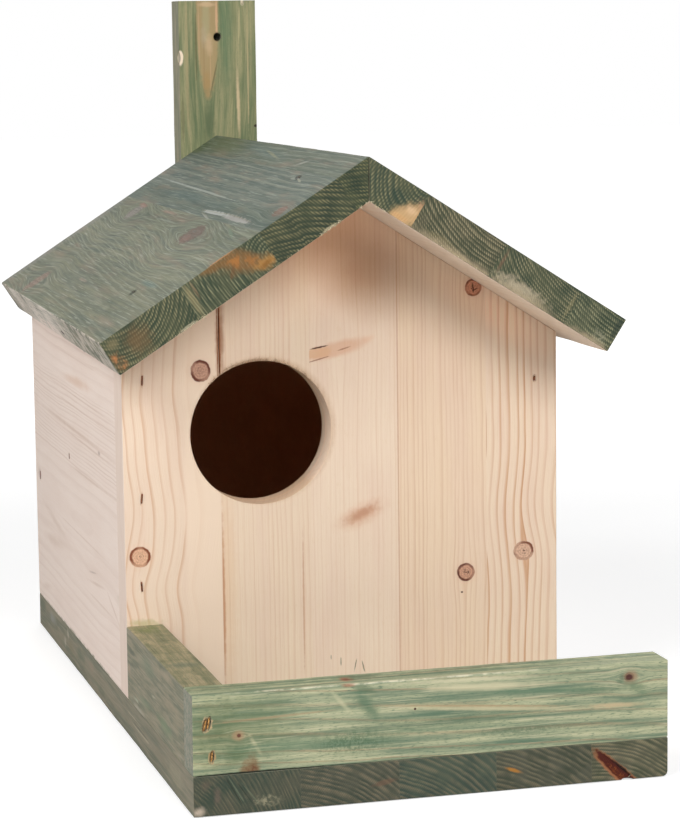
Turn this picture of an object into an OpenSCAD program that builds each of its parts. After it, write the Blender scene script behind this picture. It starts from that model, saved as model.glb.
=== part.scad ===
// Squirrel nest house: glued spruce panels, gable roof, round entrance, railed porch, hanging batten.
// Millimetres. X to the right seen from the front, Y to the back, Z up.
// The origin is the centre of the base board's underside.

/* [House] */
// Outside width of the house and of its base board
house_w = 220; // [180:1:300]
// Depth of the house, from the front wall's face to the back of the back wall
house_d = 270; // [200:1:400]
// Height of the side walls at their outer faces, above the base board
wall_h = 170; // [130:1:260]
// Thickness of the walls
wall_t = 18; // [12:0.5:24]
// Thickness of the base board
base_t = 18; // [12:0.5:24]
// Radius on the base board's long lower edge on the right
base_edge_r = 2.5; // [1:0.5:8]

/* [Staves] */
// Width of a full stave in the glued panels
stave_w = 45; // [42:0.5:48]
// How far the seams of the base, front and back panels lie right of centre
gable_seam_shift = 5.5; // [-15:0.5:15]
// How far the seams of the side walls lie above the wall's mid height
side_seam_shift = 7; // [-15:0.5:15]
// How far the seams of the left roof panel lie below the panel's middle
left_roof_seam_shift = -13.5; // [-15:0.25:15]
// How far the seams of the right roof panel lie below the panel's middle
right_roof_seam_shift = 4.25; // [-15:0.25:15]
// Width of the crack where the first seam of the front wall has opened above the entrance
open_seam_w = 1; // [0.4:0.1:2]

/* [Entrance] */
// Diameter of the entrance hole
entrance_d = 70; // [50:1:80]
// Centre of the entrance hole, left of the house's middle
entrance_left = 41.5; // [30:0.5:50]
// Centre of the entrance hole, above the base board
entrance_up = 127; // [100:1:140]

/* [Roof] */
// Slope of both roof panels, in degrees
roof_pitch = 32.5; // [25:0.5:45]
// Thickness of the roof panels
roof_t = 18; // [12:0.5:24]
// How far the left eave stands out past the side wall, measured level, at the front
left_eave = 19; // [10:0.25:60]
// How far the right eave stands out past the side wall, measured level
right_eave = 17.75; // [10:0.25:60]
// How much narrower the left panel is at its back end, where it is cut out of square
left_roof_taper = 2.5; // [0:0.5:4]
// How far the roof stands out in front of the front wall
roof_overhang = 50; // [20:1:100]

/* [Porch] */
// Depth of the porch, from the front wall's face to the front of the base board
porch_d = 148; // [100:1:220]
// Height of the rails above the base board
rail_h = 36; // [20:1:60]
// Thickness of the rails
rail_t = 18; // [12:0.5:24]

/* [Batten] */
// Width of the hanging batten
batten_w = 45; // [30:1:60]
// Thickness of the hanging batten
batten_t = 18; // [12:0.5:24]
// Middle of the batten, right of the house's middle
batten_right = 1.5; // [-10:0.5:10]
// How far the batten stands up above the ridge
batten_rise = 76.5; // [50:0.5:150]
// Diameter of the screw hole near the batten's top
screw_hole_d = 4.5; // [3:0.1:8]
// Centre of the screw hole, below the batten's top
screw_hole_down = 20.5; // [12:0.5:30]

/* [Hidden] */
$fn = 96;
overcut = 1;                    // how far a cutting shape runs past what it cuts
green = [0.42, 0.49, 0.42];     // stained boards
bare = [0.90, 0.80, 0.70];      // bare spruce
gable_staves = 5;
side_staves = 4;
roof_staves = 4;

base_l = porch_d + house_d;
porch_y = -base_l / 2;          // front of the base board
front_y = porch_y + porch_d;    // face of the front wall
back_y = base_l / 2;            // back of the house
left_x = -house_w / 2;
right_x = house_w / 2;
gable_h = wall_h + house_w / 2 * tan(roof_pitch);         // a gable wall's height at its peak
roof_plumb_t = roof_t / cos(roof_pitch);                  // a roof panel's thickness, plumb
left_roof_w = (house_w / 2 + left_eave) / cos(roof_pitch);    // the panels' widths down the slope
right_roof_w = (house_w / 2 + right_eave) / cos(roof_pitch);
ridge_z = base_t + gable_h + roof_plumb_t;                // top of the ridge
roof_l = roof_overhang + house_d;
batten_h = ridge_z + batten_rise;

// Where stave i of a panel starts, measured across the panel; stave staves + 1 gives its far edge.
// The full staves lie about the panel's middle, and the two outer ones take what is left.
function seam(i, panel_w, staves, shift) =
    i == 1 ? 0 : i > staves ? panel_w : panel_w / 2 + shift + (i - 1 - staves / 2) * stave_w;

// A strip of the flat shape in the XY plane, between two places along X
module strip(from, to, reach) {
    intersection() {
        children();
        translate([from, -reach]) square([to - from, 2 * reach]);
    }
}

// Stands a flat shape up, its X along X and its Y along Z, and gives it a length along Y
module stand_up(y_from, length) {
    translate([0, y_from + length, 0]) rotate([90, 0, 0]) linear_extrude(length) children();
}

// End outline of the base board, its lower right corner rounded, from its left edge
module base_outline() {
    difference() {
        square([house_w, base_t]);
        translate([house_w, 0]) mirror([1, 0]) difference() {
            translate([-overcut, -overcut]) square(base_edge_r + overcut);
            translate([base_edge_r, base_edge_r]) circle(base_edge_r);
        }
    }
}

// Outline of a gable wall of a given width, from its left edge and its foot
module gable_outline(width) {
    foot_h = gable_h - width / 2 * tan(roof_pitch);
    polygon([[0, 0], [width, 0], [width, foot_h], [width / 2, gable_h], [0, foot_h]]);
}

module base_stave(i) {
    color(green) translate([left_x, 0, 0]) stand_up(porch_y, base_l)
        strip(seam(i, house_w, gable_staves, gable_seam_shift),
              seam(i + 1, house_w, gable_staves, gable_seam_shift), house_w)
            base_outline();
}

// The entrance is cut through whichever staves it meets. Above it the second stave
// stands off the first by the width of the opened seam.
module front_wall_stave(i) {
    from = seam(i, house_w, gable_staves, gable_seam_shift);
    color(bare) difference() {
        translate([left_x, 0, base_t]) stand_up(front_y, wall_t)
            strip(from, seam(i + 1, house_w, gable_staves, gable_seam_shift), gable_h + overcut)
                gable_outline(house_w);
        translate([-entrance_left, front_y - overcut, base_t + entrance_up]) rotate([-90, 0, 0])
            cylinder(d = entrance_d, h = wall_t + 2 * overcut);
        if (i == 2)
            translate([left_x + from - overcut, front_y - overcut, base_t + entrance_up])
                cube([open_seam_w + overcut, wall_t + 2 * overcut, gable_h]);
    }
}

// The back wall stands between the side walls
module back_wall_stave(i) {
    inner_w = house_w - 2 * wall_t;
    color(bare) translate([left_x + wall_t, 0, base_t]) stand_up(back_y - wall_t, wall_t)
        strip(seam(i, inner_w, gable_staves, gable_seam_shift),
              seam(i + 1, inner_w, gable_staves, gable_seam_shift), gable_h + overcut)
            gable_outline(inner_w);
}

// Left-hand side wall, from behind the front wall to the back, its top cut to the roof's slope
module side_wall_stave(i) {
    inner_h = wall_h + wall_t * tan(roof_pitch);
    from = seam(i, wall_h, side_staves, side_seam_shift);
    to = i == side_staves ? inner_h + overcut : seam(i + 1, wall_h, side_staves, side_seam_shift);
    color(bare) translate([left_x, 0, base_t]) stand_up(front_y + wall_t, house_d - wall_t)
        intersection() {
            polygon([[0, 0], [wall_t, 0], [wall_t, inner_h], [0, wall_h]]);
            translate([0, from]) square([wall_t, to - from]);
        }
}

// One half of the roof, falling to the left from a plumb joint at the ridge, as a stave
// between two distances down the slope. The taper comes off the eave towards the back.
module roof_stave(i, panel_w, taper, shift) {
    from = seam(i, panel_w, roof_staves, shift);
    to = seam(i + 1, panel_w, roof_staves, shift);
    end_taper = i == roof_staves ? taper : 0;
    color(green) intersection() {
        translate([0, front_y - roof_overhang, ridge_z]) rotate([0, -roof_pitch, 0])
            translate([0, 0, -roof_t]) linear_extrude(roof_t)
                polygon([[-from, 0], [-to, 0], [-to + end_taper, roof_l], [-from, roof_l]]);
        translate([-2 * panel_w, porch_y - house_d, 0])
            cube([2 * panel_w, 3 * base_l, 2 * ridge_z]);
    }
}

module batten() {
    color(green) difference() {
        translate([batten_right - batten_w / 2, back_y, 0]) cube([batten_w, batten_t, batten_h]);
        translate([batten_right, back_y - overcut, batten_h - screw_hole_down])
            rotate([-90, 0, 0]) cylinder(d = screw_hole_d, h = batten_t + 2 * overcut);
    }
}

// Runs from the front wall to the back of the front rail
module left_rail() {
    color(green) translate([left_x, porch_y + rail_t, base_t])
        cube([rail_t, porch_d - rail_t, rail_h]);
}

module front_rail() {
    color(green) translate([left_x, porch_y, base_t]) cube([house_w, rail_t, rail_h]);
}

for (i = [1:gable_staves]) {
    base_stave(i);
    front_wall_stave(i);
    back_wall_stave(i);
}
for (i = [1:side_staves]) {
    side_wall_stave(i);
    mirror([1, 0, 0]) side_wall_stave(i);
}
for (i = [1:roof_staves]) {
    roof_stave(i, left_roof_w, left_roof_taper, left_roof_seam_shift);
    mirror([1, 0, 0]) roof_stave(i, right_roof_w, 0, right_roof_seam_shift);
}
batten();
left_rail();
front_rail();
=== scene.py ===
import math
import random

import bpy
from mathutils import Matrix, Vector


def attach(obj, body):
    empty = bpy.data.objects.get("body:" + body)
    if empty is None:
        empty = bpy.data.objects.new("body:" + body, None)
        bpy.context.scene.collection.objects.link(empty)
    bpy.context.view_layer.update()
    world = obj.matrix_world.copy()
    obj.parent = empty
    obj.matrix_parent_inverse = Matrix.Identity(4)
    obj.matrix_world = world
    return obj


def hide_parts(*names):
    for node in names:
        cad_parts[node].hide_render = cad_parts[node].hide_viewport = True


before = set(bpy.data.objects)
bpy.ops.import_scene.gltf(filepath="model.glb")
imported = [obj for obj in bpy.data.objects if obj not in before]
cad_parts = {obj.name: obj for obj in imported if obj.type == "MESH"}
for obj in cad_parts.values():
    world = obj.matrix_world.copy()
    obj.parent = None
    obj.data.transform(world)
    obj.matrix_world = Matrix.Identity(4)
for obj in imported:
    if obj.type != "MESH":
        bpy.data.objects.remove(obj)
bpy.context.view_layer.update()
mm = 0.001

# The house, in millimetres, as the frame has it
house = {"width": 220, "front": -61, "back": 209, "porchFront": -209, "baseTop": 18, "railTop": 54,
    "boardT": 18, "pitch": 32.5, "ridgeZ": 279.4224, "gableTop": 258.0802, "roofFront": -111,
    "battenTop": 355.92, "battenLeft": -21, "battenRight": 24, "baseEdgeR": 2.5}
leftX, rightX = -house["width"] / 2, house["width"] / 2
pitch = math.radians(house["pitch"])
cosP, sinP = math.cos(pitch), math.sin(pitch)
gableSeams = [-110, -62, -17, 28, 73, 110]
backSeams = [92, 62, 17, -28, -73, -92]
sideSeams = [18, 65, 110, 155, 188]
leftRoofSeams = [0, 17.977, 62.977, 107.977, 152.954]
rightRoofSeams = [0, 34.986, 79.986, 124.986, 151.472]
entrance = {"x": -41.5, "y": -52, "z": 145, "r": 35, "sides": 128}
screwHole = {"x": 1.5, "y": 218, "z": 335.42, "r": 2.25, "sides": 40}
openSeam = {"edge": -61.5, "from": 145, "to": 285}   # a glue line that has opened over the entrance
uncut = {"gable": 262, "side": 202, "ridge": -14}    # past the slopes and the ridge, before they are cut


def rgb(red, green, blue):
    # a colour as a painter reads it, 0 to 255, made linear
    shares = (c / 255 for c in (red, green, blue))
    return tuple(((c + 0.055) / 1.055) ** 2.4 if c > 0.0393 else c / 12.92 for c in shares)


def deselect():
    if bpy.context.object and bpy.context.object.mode != "OBJECT":
        bpy.ops.object.mode_set(mode="OBJECT")
    bpy.ops.object.select_all(action="DESELECT")


def pick(piece):
    deselect()
    piece.select_set(True)
    bpy.context.view_layer.objects.active = piece


def settle():
    # puts the place, turn and size of what is selected into its mesh
    bpy.ops.object.transform_apply(location=True, rotation=True, scale=True)
    return bpy.context.object


def modify(board, kind, **settings):
    pick(board)
    bpy.ops.object.modifier_add(type=kind)
    made = board.modifiers[-1]
    for name, value in settings.items():
        setattr(made, name, value)
    bpy.ops.object.modifier_apply(modifier=made.name)


def frameAxes(along, across, depth, origin):
    # a board's own axes in the row frame: along the grain, across the board, into the board
    return {"turn": Matrix((along, across, depth)).transposed(), "origin": Vector(origin) * mm,
        "along": Vector(along)}


axes = {"frontWall": frameAxes((0, 0, 1), (1, 0, 0), (0, 1, 0), (0, house["front"], 0)),
    "backWall": frameAxes((0, 0, 1), (-1, 0, 0), (0, -1, 0), (0, house["back"], 0)),
    "leftWall": frameAxes((0, 1, 0), (0, 0, 1), (1, 0, 0), (leftX, 0, 0)),
    "rightWall": frameAxes((0, -1, 0), (0, 0, 1), (-1, 0, 0), (rightX, 0, 0)),
    "leftRoof": frameAxes((0, -1, 0), (-cosP, 0, -sinP), (sinP, 0, -cosP), (0, 0, house["ridgeZ"])),
    "rightRoof": frameAxes((0, 1, 0), (cosP, 0, -sinP), (-sinP, 0, -cosP), (0, 0, house["ridgeZ"])),
    "base": frameAxes((0, 1, 0), (1, 0, 0), (0, 0, -1), (0, 0, house["baseTop"])),
    "frontRail": frameAxes((1, 0, 0), (0, 0, -1), (0, 1, 0), (0, house["porchFront"], house["railTop"])),
    "leftRail": frameAxes((0, 1, 0), (0, 0, 1), (1, 0, 0), (leftX, 0, 0)),
    "batten": frameAxes((0, 0, 1), (1, 0, 0), (0, 1, 0), (0, house["back"], 0))}


def boardPoint(panel, place):
    a = axes[panel]
    return a["origin"] + a["turn"] @ (Vector(place) * mm)


def sawBoard(name, panel, low, high):
    # low and high are along the board and across it; its face lies at depth 0
    deselect()
    a = axes[panel]
    low, high = (*low, 0), (*high, house["boardT"])
    middle = Vector([(p + q) / 2 for p, q in zip(low, high)]) * mm
    bpy.ops.mesh.primitive_cube_add(size=1, location=a["origin"] + a["turn"] @ middle,
        rotation=a["turn"].to_euler(), scale=[(q - p) * mm for p, q in zip(low, high)])
    board = settle()
    board.name = name
    return board


def bisectBoard(board, point, normal, cutAway=True):
    # cuts away what lies on the normal's side, or only scores a line round the board
    pick(board)
    bpy.ops.object.mode_set(mode="EDIT")
    bpy.ops.mesh.select_all(action="SELECT")
    bpy.ops.mesh.bisect(plane_co=point, plane_no=normal, use_fill=cutAway, clear_outer=cutAway)
    bpy.ops.object.mode_set(mode="OBJECT")


def cutSlope(board, side):
    # the roof's slope on one side, over a wall
    bisectBoard(board, (0, 0, house["gableTop"] * mm), (side * sinP, 0, cosP))


def scoreBoard(board, panel, step):
    # rings round the board every step, so that its long edges can wander a little
    along = axes[panel]["along"]
    reach = [along.dot(v.co) for v in board.data.vertices]
    count = max(1, round((max(reach) - min(reach)) / (step * mm)))
    for k in range(1, count):
        place = min(reach) + (max(reach) - min(reach)) * k / count
        bisectBoard(board, along * place, along, cutAway=False)


def bluntEdges(mesh):
    # edges that lie in a flat face, or run along the facets of the round hole
    sides = {}
    for face in mesh.polygons:
        for key in face.edge_keys:
            sides.setdefault(key, []).append(face.normal)
    return {key for key, faces in sides.items() if len(faces) == 2 and faces[0].dot(faces[1]) > 0.86}


def easeEdges(board, panel, seams, width, gluedShare=0.06):
    # planes the arrises off: fully where an edge is free, barely along a glue line
    a = axes[panel]
    mesh = board.data
    blunt = bluntEdges(mesh)
    weight = mesh.attributes.new("bevel_weight_edge", "FLOAT", "EDGE")
    for edge in mesh.edges:
        ends = [(a["turn"].transposed() @ (mesh.vertices[v].co - a["origin"])) / mm for v in edge.vertices]
        glued = any(all(abs(p.y - seam) < 0.05 for p in ends) for seam in seams)
        weight.data[edge.index].value = 0.0 if edge.key in blunt else gluedShare if glued else 1.0
    modify(board, "BEVEL", width=width * mm, segments=2, limit_method="WEIGHT")


sawTexture = bpy.data.textures.new("unevenSawing", "CLOUDS")
sawTexture.noise_scale = 0.028
sawTexture.cloud_type = "COLOR"


def roughen(board, strength):
    # no sawn board is quite straight
    modify(board, "DISPLACE", texture=sawTexture, texture_coords="LOCAL", direction="RGB_TO_XYZ",
        mid_level=0.5, strength=strength * mm)


def cutWith(board, cutter):
    modify(board, "BOOLEAN", operation="DIFFERENCE", solver="MANIFOLD", object=cutter)


def smoothBoard(board):
    pick(board)
    bpy.ops.object.shade_smooth_by_angle(angle=math.radians(32))
    # the broad faces keep their light flat beside small cuts
    modify(board, "WEIGHTED_NORMAL", keep_sharp=True)


# shallow cuts: the middle, size and turn of each in the board's own axes
def bowl(at, size, turn=0):
    return {"at": at, "size": size, "turn": turn}


stapleShape = {"length": 6.2, "wire": 0.75, "bend": 0.8, "leg": 3.0, "sunk": 0.1}
staples = [
    {"board": "frontWallStave1", "at": (173, -99.6), "turn": 3},
    {"board": "frontWallStave1", "at": (116, -101), "turn": 6},
    {"board": "frontWallStave1", "at": (73, -102), "turn": -4},
    {"board": "frontWallStave5", "at": (165.3, 98.4), "turn": 4, "length": 3, "recess": 1.9},
    {"board": "leftWallStave2", "at": (193, 89.5), "turn": 86},
    {"board": "leftWallStave3", "at": (92, 115), "turn": 80, "length": 4},
    {"board": "leftRoofStave2", "at": (52, 22), "turn": 8, "length": 5},
    {"board": "leftRoofStave4", "at": (53, 120), "turn": -6, "length": 4.5},
    {"board": "frontRail", "at": (-104.4, 13.4), "turn": 104, "length": 6, "recess": 2.4},
    {"board": "frontRail", "at": (-102.8, 12.6), "turn": 102, "length": 6, "recess": 2.4},
    {"board": "frontRail", "at": (-101.5, 27.5), "turn": 97, "length": 5, "recess": 2.2}]
dents = {"leftRoofStave2": [bowl((46, 58.4, 0), (76, 3.4, 0.9), 0.8),
        bowl((2, 58.3, 0), (64, 2.0, 0.8), -1.2), bowl((-8, 61.6, 0), (30, 1.4, 0.6), 7)],
    "baseStave5": [{"at": (-209, 82, 9.6), "size": (1.8, 23, 5.2), "turn": 44, "wedge": True},
        bowl((-209, 90.5, 18), (6, 5.5, 2.0))],
    "hangingBatten": [bowl((324, -21, 2), (8, 1.8, 6)), bowl((356, 16.5, 0), (5, 2.4, 3))],
    "leftRoofStave4": [bowl((-206, 152.4, 18), (9, 6, 3), 8), bowl((-196, 152.9, 18), (6, 3, 4), -5),
        bowl((-186, 153.4, 18), (8, 2.4, 3))],
    "leftWallStave1": [bowl((209, 18, 1), (6, 2.2, 6))]}
for staple in staples:
    # each staple sits in a slot a little larger than itself
    slot = bowl((*staple["at"], 0), (staple.get("length", stapleShape["length"]) + 1.1,
            staple.get("recess", 1.25), staple.get("recess", 0.9)), staple["turn"])
    dents.setdefault(staple["board"], []).append(slot)


def makeCutter(panel, dent):
    deselect()
    if "wedge" in dent:
        # narrower towards one end, and turned in the plane of the board's end
        bpy.ops.mesh.primitive_cube_add(size=1)
        cutter = bpy.context.object
        bpy.ops.object.mode_set(mode="EDIT")
        bpy.ops.mesh.select_all(action="DESELECT")
        bpy.ops.object.mode_set(mode="OBJECT")
        for v in cutter.data.vertices:
            v.select = v.co.y < 0
        bpy.ops.object.mode_set(mode="EDIT")
        bpy.ops.transform.resize(value=(0.2, 0.2, 0.2), constraint_axis=(True, False, True))
        bpy.ops.object.mode_set(mode="OBJECT")
    else:
        bpy.ops.mesh.primitive_uv_sphere_add(segments=28, ring_count=14, radius=0.5)
        cutter = bpy.context.object
    turn = Matrix.Rotation(math.radians(dent["turn"]), 3, "X" if "wedge" in dent else "Z")
    size = Matrix.Diagonal([v * mm for v in dent["size"]])
    place = Matrix.Translation(boardPoint(panel, dent["at"]))
    cutter.matrix_world = place @ (axes[panel]["turn"] @ turn @ size).to_4x4()
    return settle()


boards = {}


def finishBoard(board, panel, seams, nodes, ease=0.6, wander=0.5):
    easeEdges(board, panel, seams, ease)
    for dent in dents.get(board.name, ()):
        cutter = makeCutter(panel, dent)
        cutWith(board, cutter)
        bpy.data.objects.remove(cutter)
    roughen(board, wander)
    smoothBoard(board)
    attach(board, "root")
    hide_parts(*nodes)
    boards[board.name] = board


def drill(hole, depth):
    # a round cutter along Y
    deselect()
    bpy.ops.mesh.primitive_cylinder_add(vertices=hole["sides"], radius=hole["r"] * mm, depth=depth,
        location=[hole[k] * mm for k in "xyz"], rotation=(math.radians(90), 0, 0))
    return settle()


def splitSeam(board):
    deselect()
    low, high = openSeam["from"], openSeam["to"]
    bpy.ops.mesh.primitive_cube_add(size=1, scale=(0.002, 0.03, (high - low) * mm),
        location=((openSeam["edge"] - 1) * mm, entrance["y"] * mm, (low + high) / 2 * mm))
    gap = settle()
    cutWith(board, gap)
    bpy.data.objects.remove(gap)


def makeFrontWall():
    cutter = drill(entrance, 0.06)
    for i in range(5):
        board = sawBoard("frontWallStave%d" % (i + 1), "frontWall", (house["baseTop"], gableSeams[i]),
            (uncut["gable"], gableSeams[i + 1]))
        for side in (-1, 1):
            cutSlope(board, side)
        scoreBoard(board, "frontWall", 9)
        seams = gableSeams[1:5]
        if i == 1:
            splitSeam(board)
            seams.append(openSeam["edge"])
        if i < 3:
            cutWith(board, cutter)
        finishBoard(board, "frontWall", seams, ["front_wall_stave_%d" % (i + 1)],
            wander=0.12)
    bpy.data.objects.remove(cutter)
    print("front wall sawn")


def makeWalls():
    for i in range(5):
        board = sawBoard("backWallStave%d" % (i + 1), "backWall", (house["baseTop"], backSeams[i + 1]),
            (uncut["gable"], backSeams[i]))
        for side in (-1, 1):
            cutSlope(board, side)
        scoreBoard(board, "backWall", 20)
        finishBoard(board, "backWall", backSeams[1:5], ["back_wall_stave_%d" % (i + 1)],
            wander=0.15)
    start, end = house["front"] + house["boardT"], house["back"]
    for word, side, reach in (("left", -1, (start, end)), ("right", 1, (-end, -start))):
        panel = word + "Wall"
        for i in range(4):
            top = sideSeams[i + 1] if i < 3 else uncut["side"]
            board = sawBoard("%sStave%d" % (panel, i + 1), panel, (reach[0], sideSeams[i]), (reach[1], top))
            if i == 3:
                cutSlope(board, side)
            scoreBoard(board, panel, 12)
            finishBoard(board, panel, sideSeams[1:4], ["%s_wall_stave_%d" % (word, i + 1)],
                wander=0.15)
    print("walls sawn")


def makeRoof():
    front, back = house["roofFront"], house["back"]
    for word, side, seams in (("left", -1, leftRoofSeams), ("right", 1, rightRoofSeams)):
        panel = word + "Roof"
        reach = (-back, -front) if side < 0 else (front, back)
        for i in range(4):
            top = seams[i] if i else uncut["ridge"]
            board = sawBoard("%sStave%d" % (panel, i + 1), panel, (reach[0], top), (reach[1], seams[i + 1]))
            if i == 0:
                bisectBoard(board, (0, 0, 0), (-side, 0, 0))  # the plumb joint at the ridge
            if side < 0 and i == 3:
                # the eave is cut a little out of square, 2.5 mm over the roof's length
                down = axes[panel]["turn"] @ Vector((0, 1, 0))
                lean = (down * (back - front) * mm + Vector((0, 2.5 * mm, 0))).normalized()
                bisectBoard(board, boardPoint(panel, (-front, seams[4], 0)), lean)
            scoreBoard(board, panel, 9)
            finishBoard(board, panel, seams[1:4],
                ["%s_roof_stave_%d" % (word, i + 1)])
    print("roof sawn")


def roundBaseEdge(board):
    # the base board's long lower edge on the right is rounded
    mesh = board.data
    weight = mesh.attributes.new("bevel_weight_edge", "FLOAT", "EDGE")
    for edge in mesh.edges:
        ends = [mesh.vertices[v].co for v in edge.vertices]
        low = all(abs(p.z) < 1e-5 and abs(p.x - rightX * mm) < 1e-5 for p in ends)
        weight.data[edge.index].value = 1.0 if low else 0.0
    modify(board, "BEVEL", width=house["baseEdgeR"] * mm, segments=5, limit_method="WEIGHT")
    mesh.attributes.remove(mesh.attributes["bevel_weight_edge"])


def makeBase():
    for i in range(5):
        board = sawBoard("baseStave%d" % (i + 1), "base", (house["porchFront"], gableSeams[i]),
            (house["back"], gableSeams[i + 1]))
        if i == 4:
            roundBaseEdge(board)
        scoreBoard(board, "base", 14)
        finishBoard(board, "base", gableSeams[1:5],
            ["base_stave_%d" % (i + 1)], ease=0.5)
    print("base sawn")


def makeRails():
    railH = house["railTop"] - house["baseTop"]
    rail = sawBoard("frontRail", "frontRail", (leftX, 0), (rightX, railH))
    scoreBoard(rail, "frontRail", 10)
    finishBoard(rail, "frontRail", [], ["front_rail"], ease=0.7)
    rail = sawBoard("leftRail", "leftRail", (house["porchFront"] + house["boardT"], house["baseTop"]),
        (house["front"], house["railTop"]))
    scoreBoard(rail, "leftRail", 10)
    finishBoard(rail, "leftRail", [], ["left_rail"], ease=0.7)
    print("rails sawn")


def makeBatten():
    post = sawBoard("hangingBatten", "batten", (0, house["battenLeft"]),
        (house["battenTop"], house["battenRight"]))
    scoreBoard(post, "batten", 12)
    cutter = drill(screwHole, 0.03)
    cutWith(post, cutter)
    bpy.data.objects.remove(cutter)
    finishBoard(post, "batten", [], ["batten"], ease=0.5)
    print("batten sawn")


makeFrontWall()
makeWalls()
makeRoof()
makeBase()
makeRails()
makeBatten()
extras = {}


def makeStaple():
    # a wire crown along X with both ends turned down into the wood
    deselect()
    half = (stapleShape["length"] / 2 - stapleShape["bend"]) * mm
    bpy.ops.mesh.primitive_cylinder_add(vertices=10, radius=stapleShape["wire"] / 2 * mm, depth=2 * half,
        location=(0, 0, 0), rotation=(0, math.radians(90), 0))
    staple = settle()
    for side in (-1, 1):
        for face in staple.data.polygons:
            face.select = face.normal.x * side > 0.9
        bpy.ops.object.mode_set(mode="EDIT")
        bpy.ops.mesh.select_mode(type="FACE")
        bpy.ops.mesh.spin(steps=4, angle=math.radians(90 * side),
            center=(side * half, 0, -stapleShape["bend"] * mm), axis=(0, 1, 0))
        bpy.ops.mesh.extrude_region_move(TRANSFORM_OT_translate={"value": (0, 0, -stapleShape["leg"] * mm)})
        bpy.ops.mesh.select_all(action="DESELECT")
        bpy.ops.object.mode_set(mode="OBJECT")
    bpy.ops.object.mode_set(mode="EDIT")
    bpy.ops.mesh.select_all(action="SELECT")
    bpy.ops.mesh.normals_make_consistent(inside=False)
    bpy.ops.object.mode_set(mode="OBJECT")
    bpy.ops.object.shade_smooth_by_angle(angle=math.radians(40))
    return staple


def copyOf(pattern):
    made = pattern.copy()
    made.data = pattern.data.copy()
    bpy.context.scene.collection.objects.link(made)
    return made


def driveStaples():
    pattern = makeStaple()
    flip = Matrix.Rotation(math.radians(180), 3, "X")
    for i, staple in enumerate(staples):
        panel = staple["board"].split("Stave")[0]
        copy = copyOf(pattern)
        copy.name = "staple%d" % (i + 1)
        turn = Matrix.Rotation(math.radians(staple["turn"]), 3, "Z")
        stretch = Matrix.Diagonal((staple.get("length", 6.2) / stapleShape["length"], 1, 1))
        place = Matrix.Translation(boardPoint(panel, (*staple["at"], stapleShape["sunk"])))
        copy.matrix_world = place @ (axes[panel]["turn"] @ turn @ flip @ stretch).to_4x4()
        pick(copy)
        settle()
        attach(copy, "root")
        extras[copy.name] = copy
    bpy.data.objects.remove(pattern)
    print("staples driven")


driveStaples()


# where the saw tore the wood: runs along a lower arris, each from one place to another
tornEdges = {"vergeFibres": {"panel": "leftRoof", "seed": 5,
        "runs": [
            {"from": (111, 11.5, 18), "to": (111, 17, 18), "count": 10, "length": 1.6},
            {"from": (111, 27, 18), "to": (111, 39, 18), "count": 30, "length": 2.0},
            {"from": (111, 104, 18), "to": (111, 122, 18), "count": 34, "length": 1.8},
            {"from": (111, 40, 18), "to": (111, 104, 18), "count": 26, "length": 0.9}]},
    "rightVergeFibres": {"panel": "rightRoof", "seed": 6,
        "runs": [
            {"from": (-111, 11.5, 18), "to": (-111, 22, 18), "count": 18, "length": 1.4},
            {"from": (-111, 35, 18), "to": (-111, 75, 18), "count": 20, "length": 0.9}]}}


def makeStrand():
    # one torn fibre, standing on the origin, a little bent
    deselect()
    bpy.ops.mesh.primitive_cone_add(vertices=4, radius1=0.15, radius2=0.03, depth=1, location=(0, 0, 0.5))
    strand = settle()
    bisectBoard(strand, (0, 0, 0.45), (0, 0, 1), cutAway=False)
    for v in strand.data.vertices:
        v.select = abs(v.co.z - 0.45) < 0.05
    bpy.ops.object.mode_set(mode="EDIT")
    bpy.ops.transform.translate(value=(0.13, 0.05, 0))
    bpy.ops.object.mode_set(mode="OBJECT")
    return strand


def plantStrands(name, places):
    pattern = makeStrand()
    made = []
    for place, direction, length, thick, spin in places:
        copy = copyOf(pattern)
        aim = direction.to_track_quat("Z", "Y").to_matrix() @ Matrix.Rotation(spin, 3, "Z")
        size = Matrix.Diagonal((thick * mm, thick * mm, length * mm))
        copy.matrix_world = Matrix.Translation(place) @ (aim @ size).to_4x4()
        made.append(copy)
    bpy.data.objects.remove(pattern)
    deselect()
    for copy in made:
        copy.select_set(True)
    bpy.context.view_layer.objects.active = made[0]
    settle()
    bpy.ops.object.join()
    piece = bpy.context.object
    piece.name = name
    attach(piece, "root")
    extras[name] = piece


def strand(dice, place, lean, lengths, thicks):
    return place, lean.normalized(), dice.uniform(*lengths), dice.uniform(*thicks), dice.uniform(0, 6)


def tearVerges():
    for name, plan in tornEdges.items():
        dice = random.Random(plan["seed"])
        places = []
        for run in plan["runs"]:
            start, end = Vector(run["from"]), Vector(run["to"])
            for k in range(run["count"]):
                at = start.lerp(end, dice.random()) + Vector((0, 0, -0.3 - dice.random() * 0.5))
                lean = Vector((dice.uniform(-1.0, 1.0), dice.uniform(-0.7, 0.1), dice.uniform(-0.9, 0.1)))
                place = boardPoint(plan["panel"], at) + Vector((0, dice.uniform(0, 0.4) * mm, 0))
                lengths = (0.5 * run["length"], 1.2 * run["length"])
                places.append(strand(dice, place, lean, lengths, (0.6, 1.3)))
        plantStrands(name, places)


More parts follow.
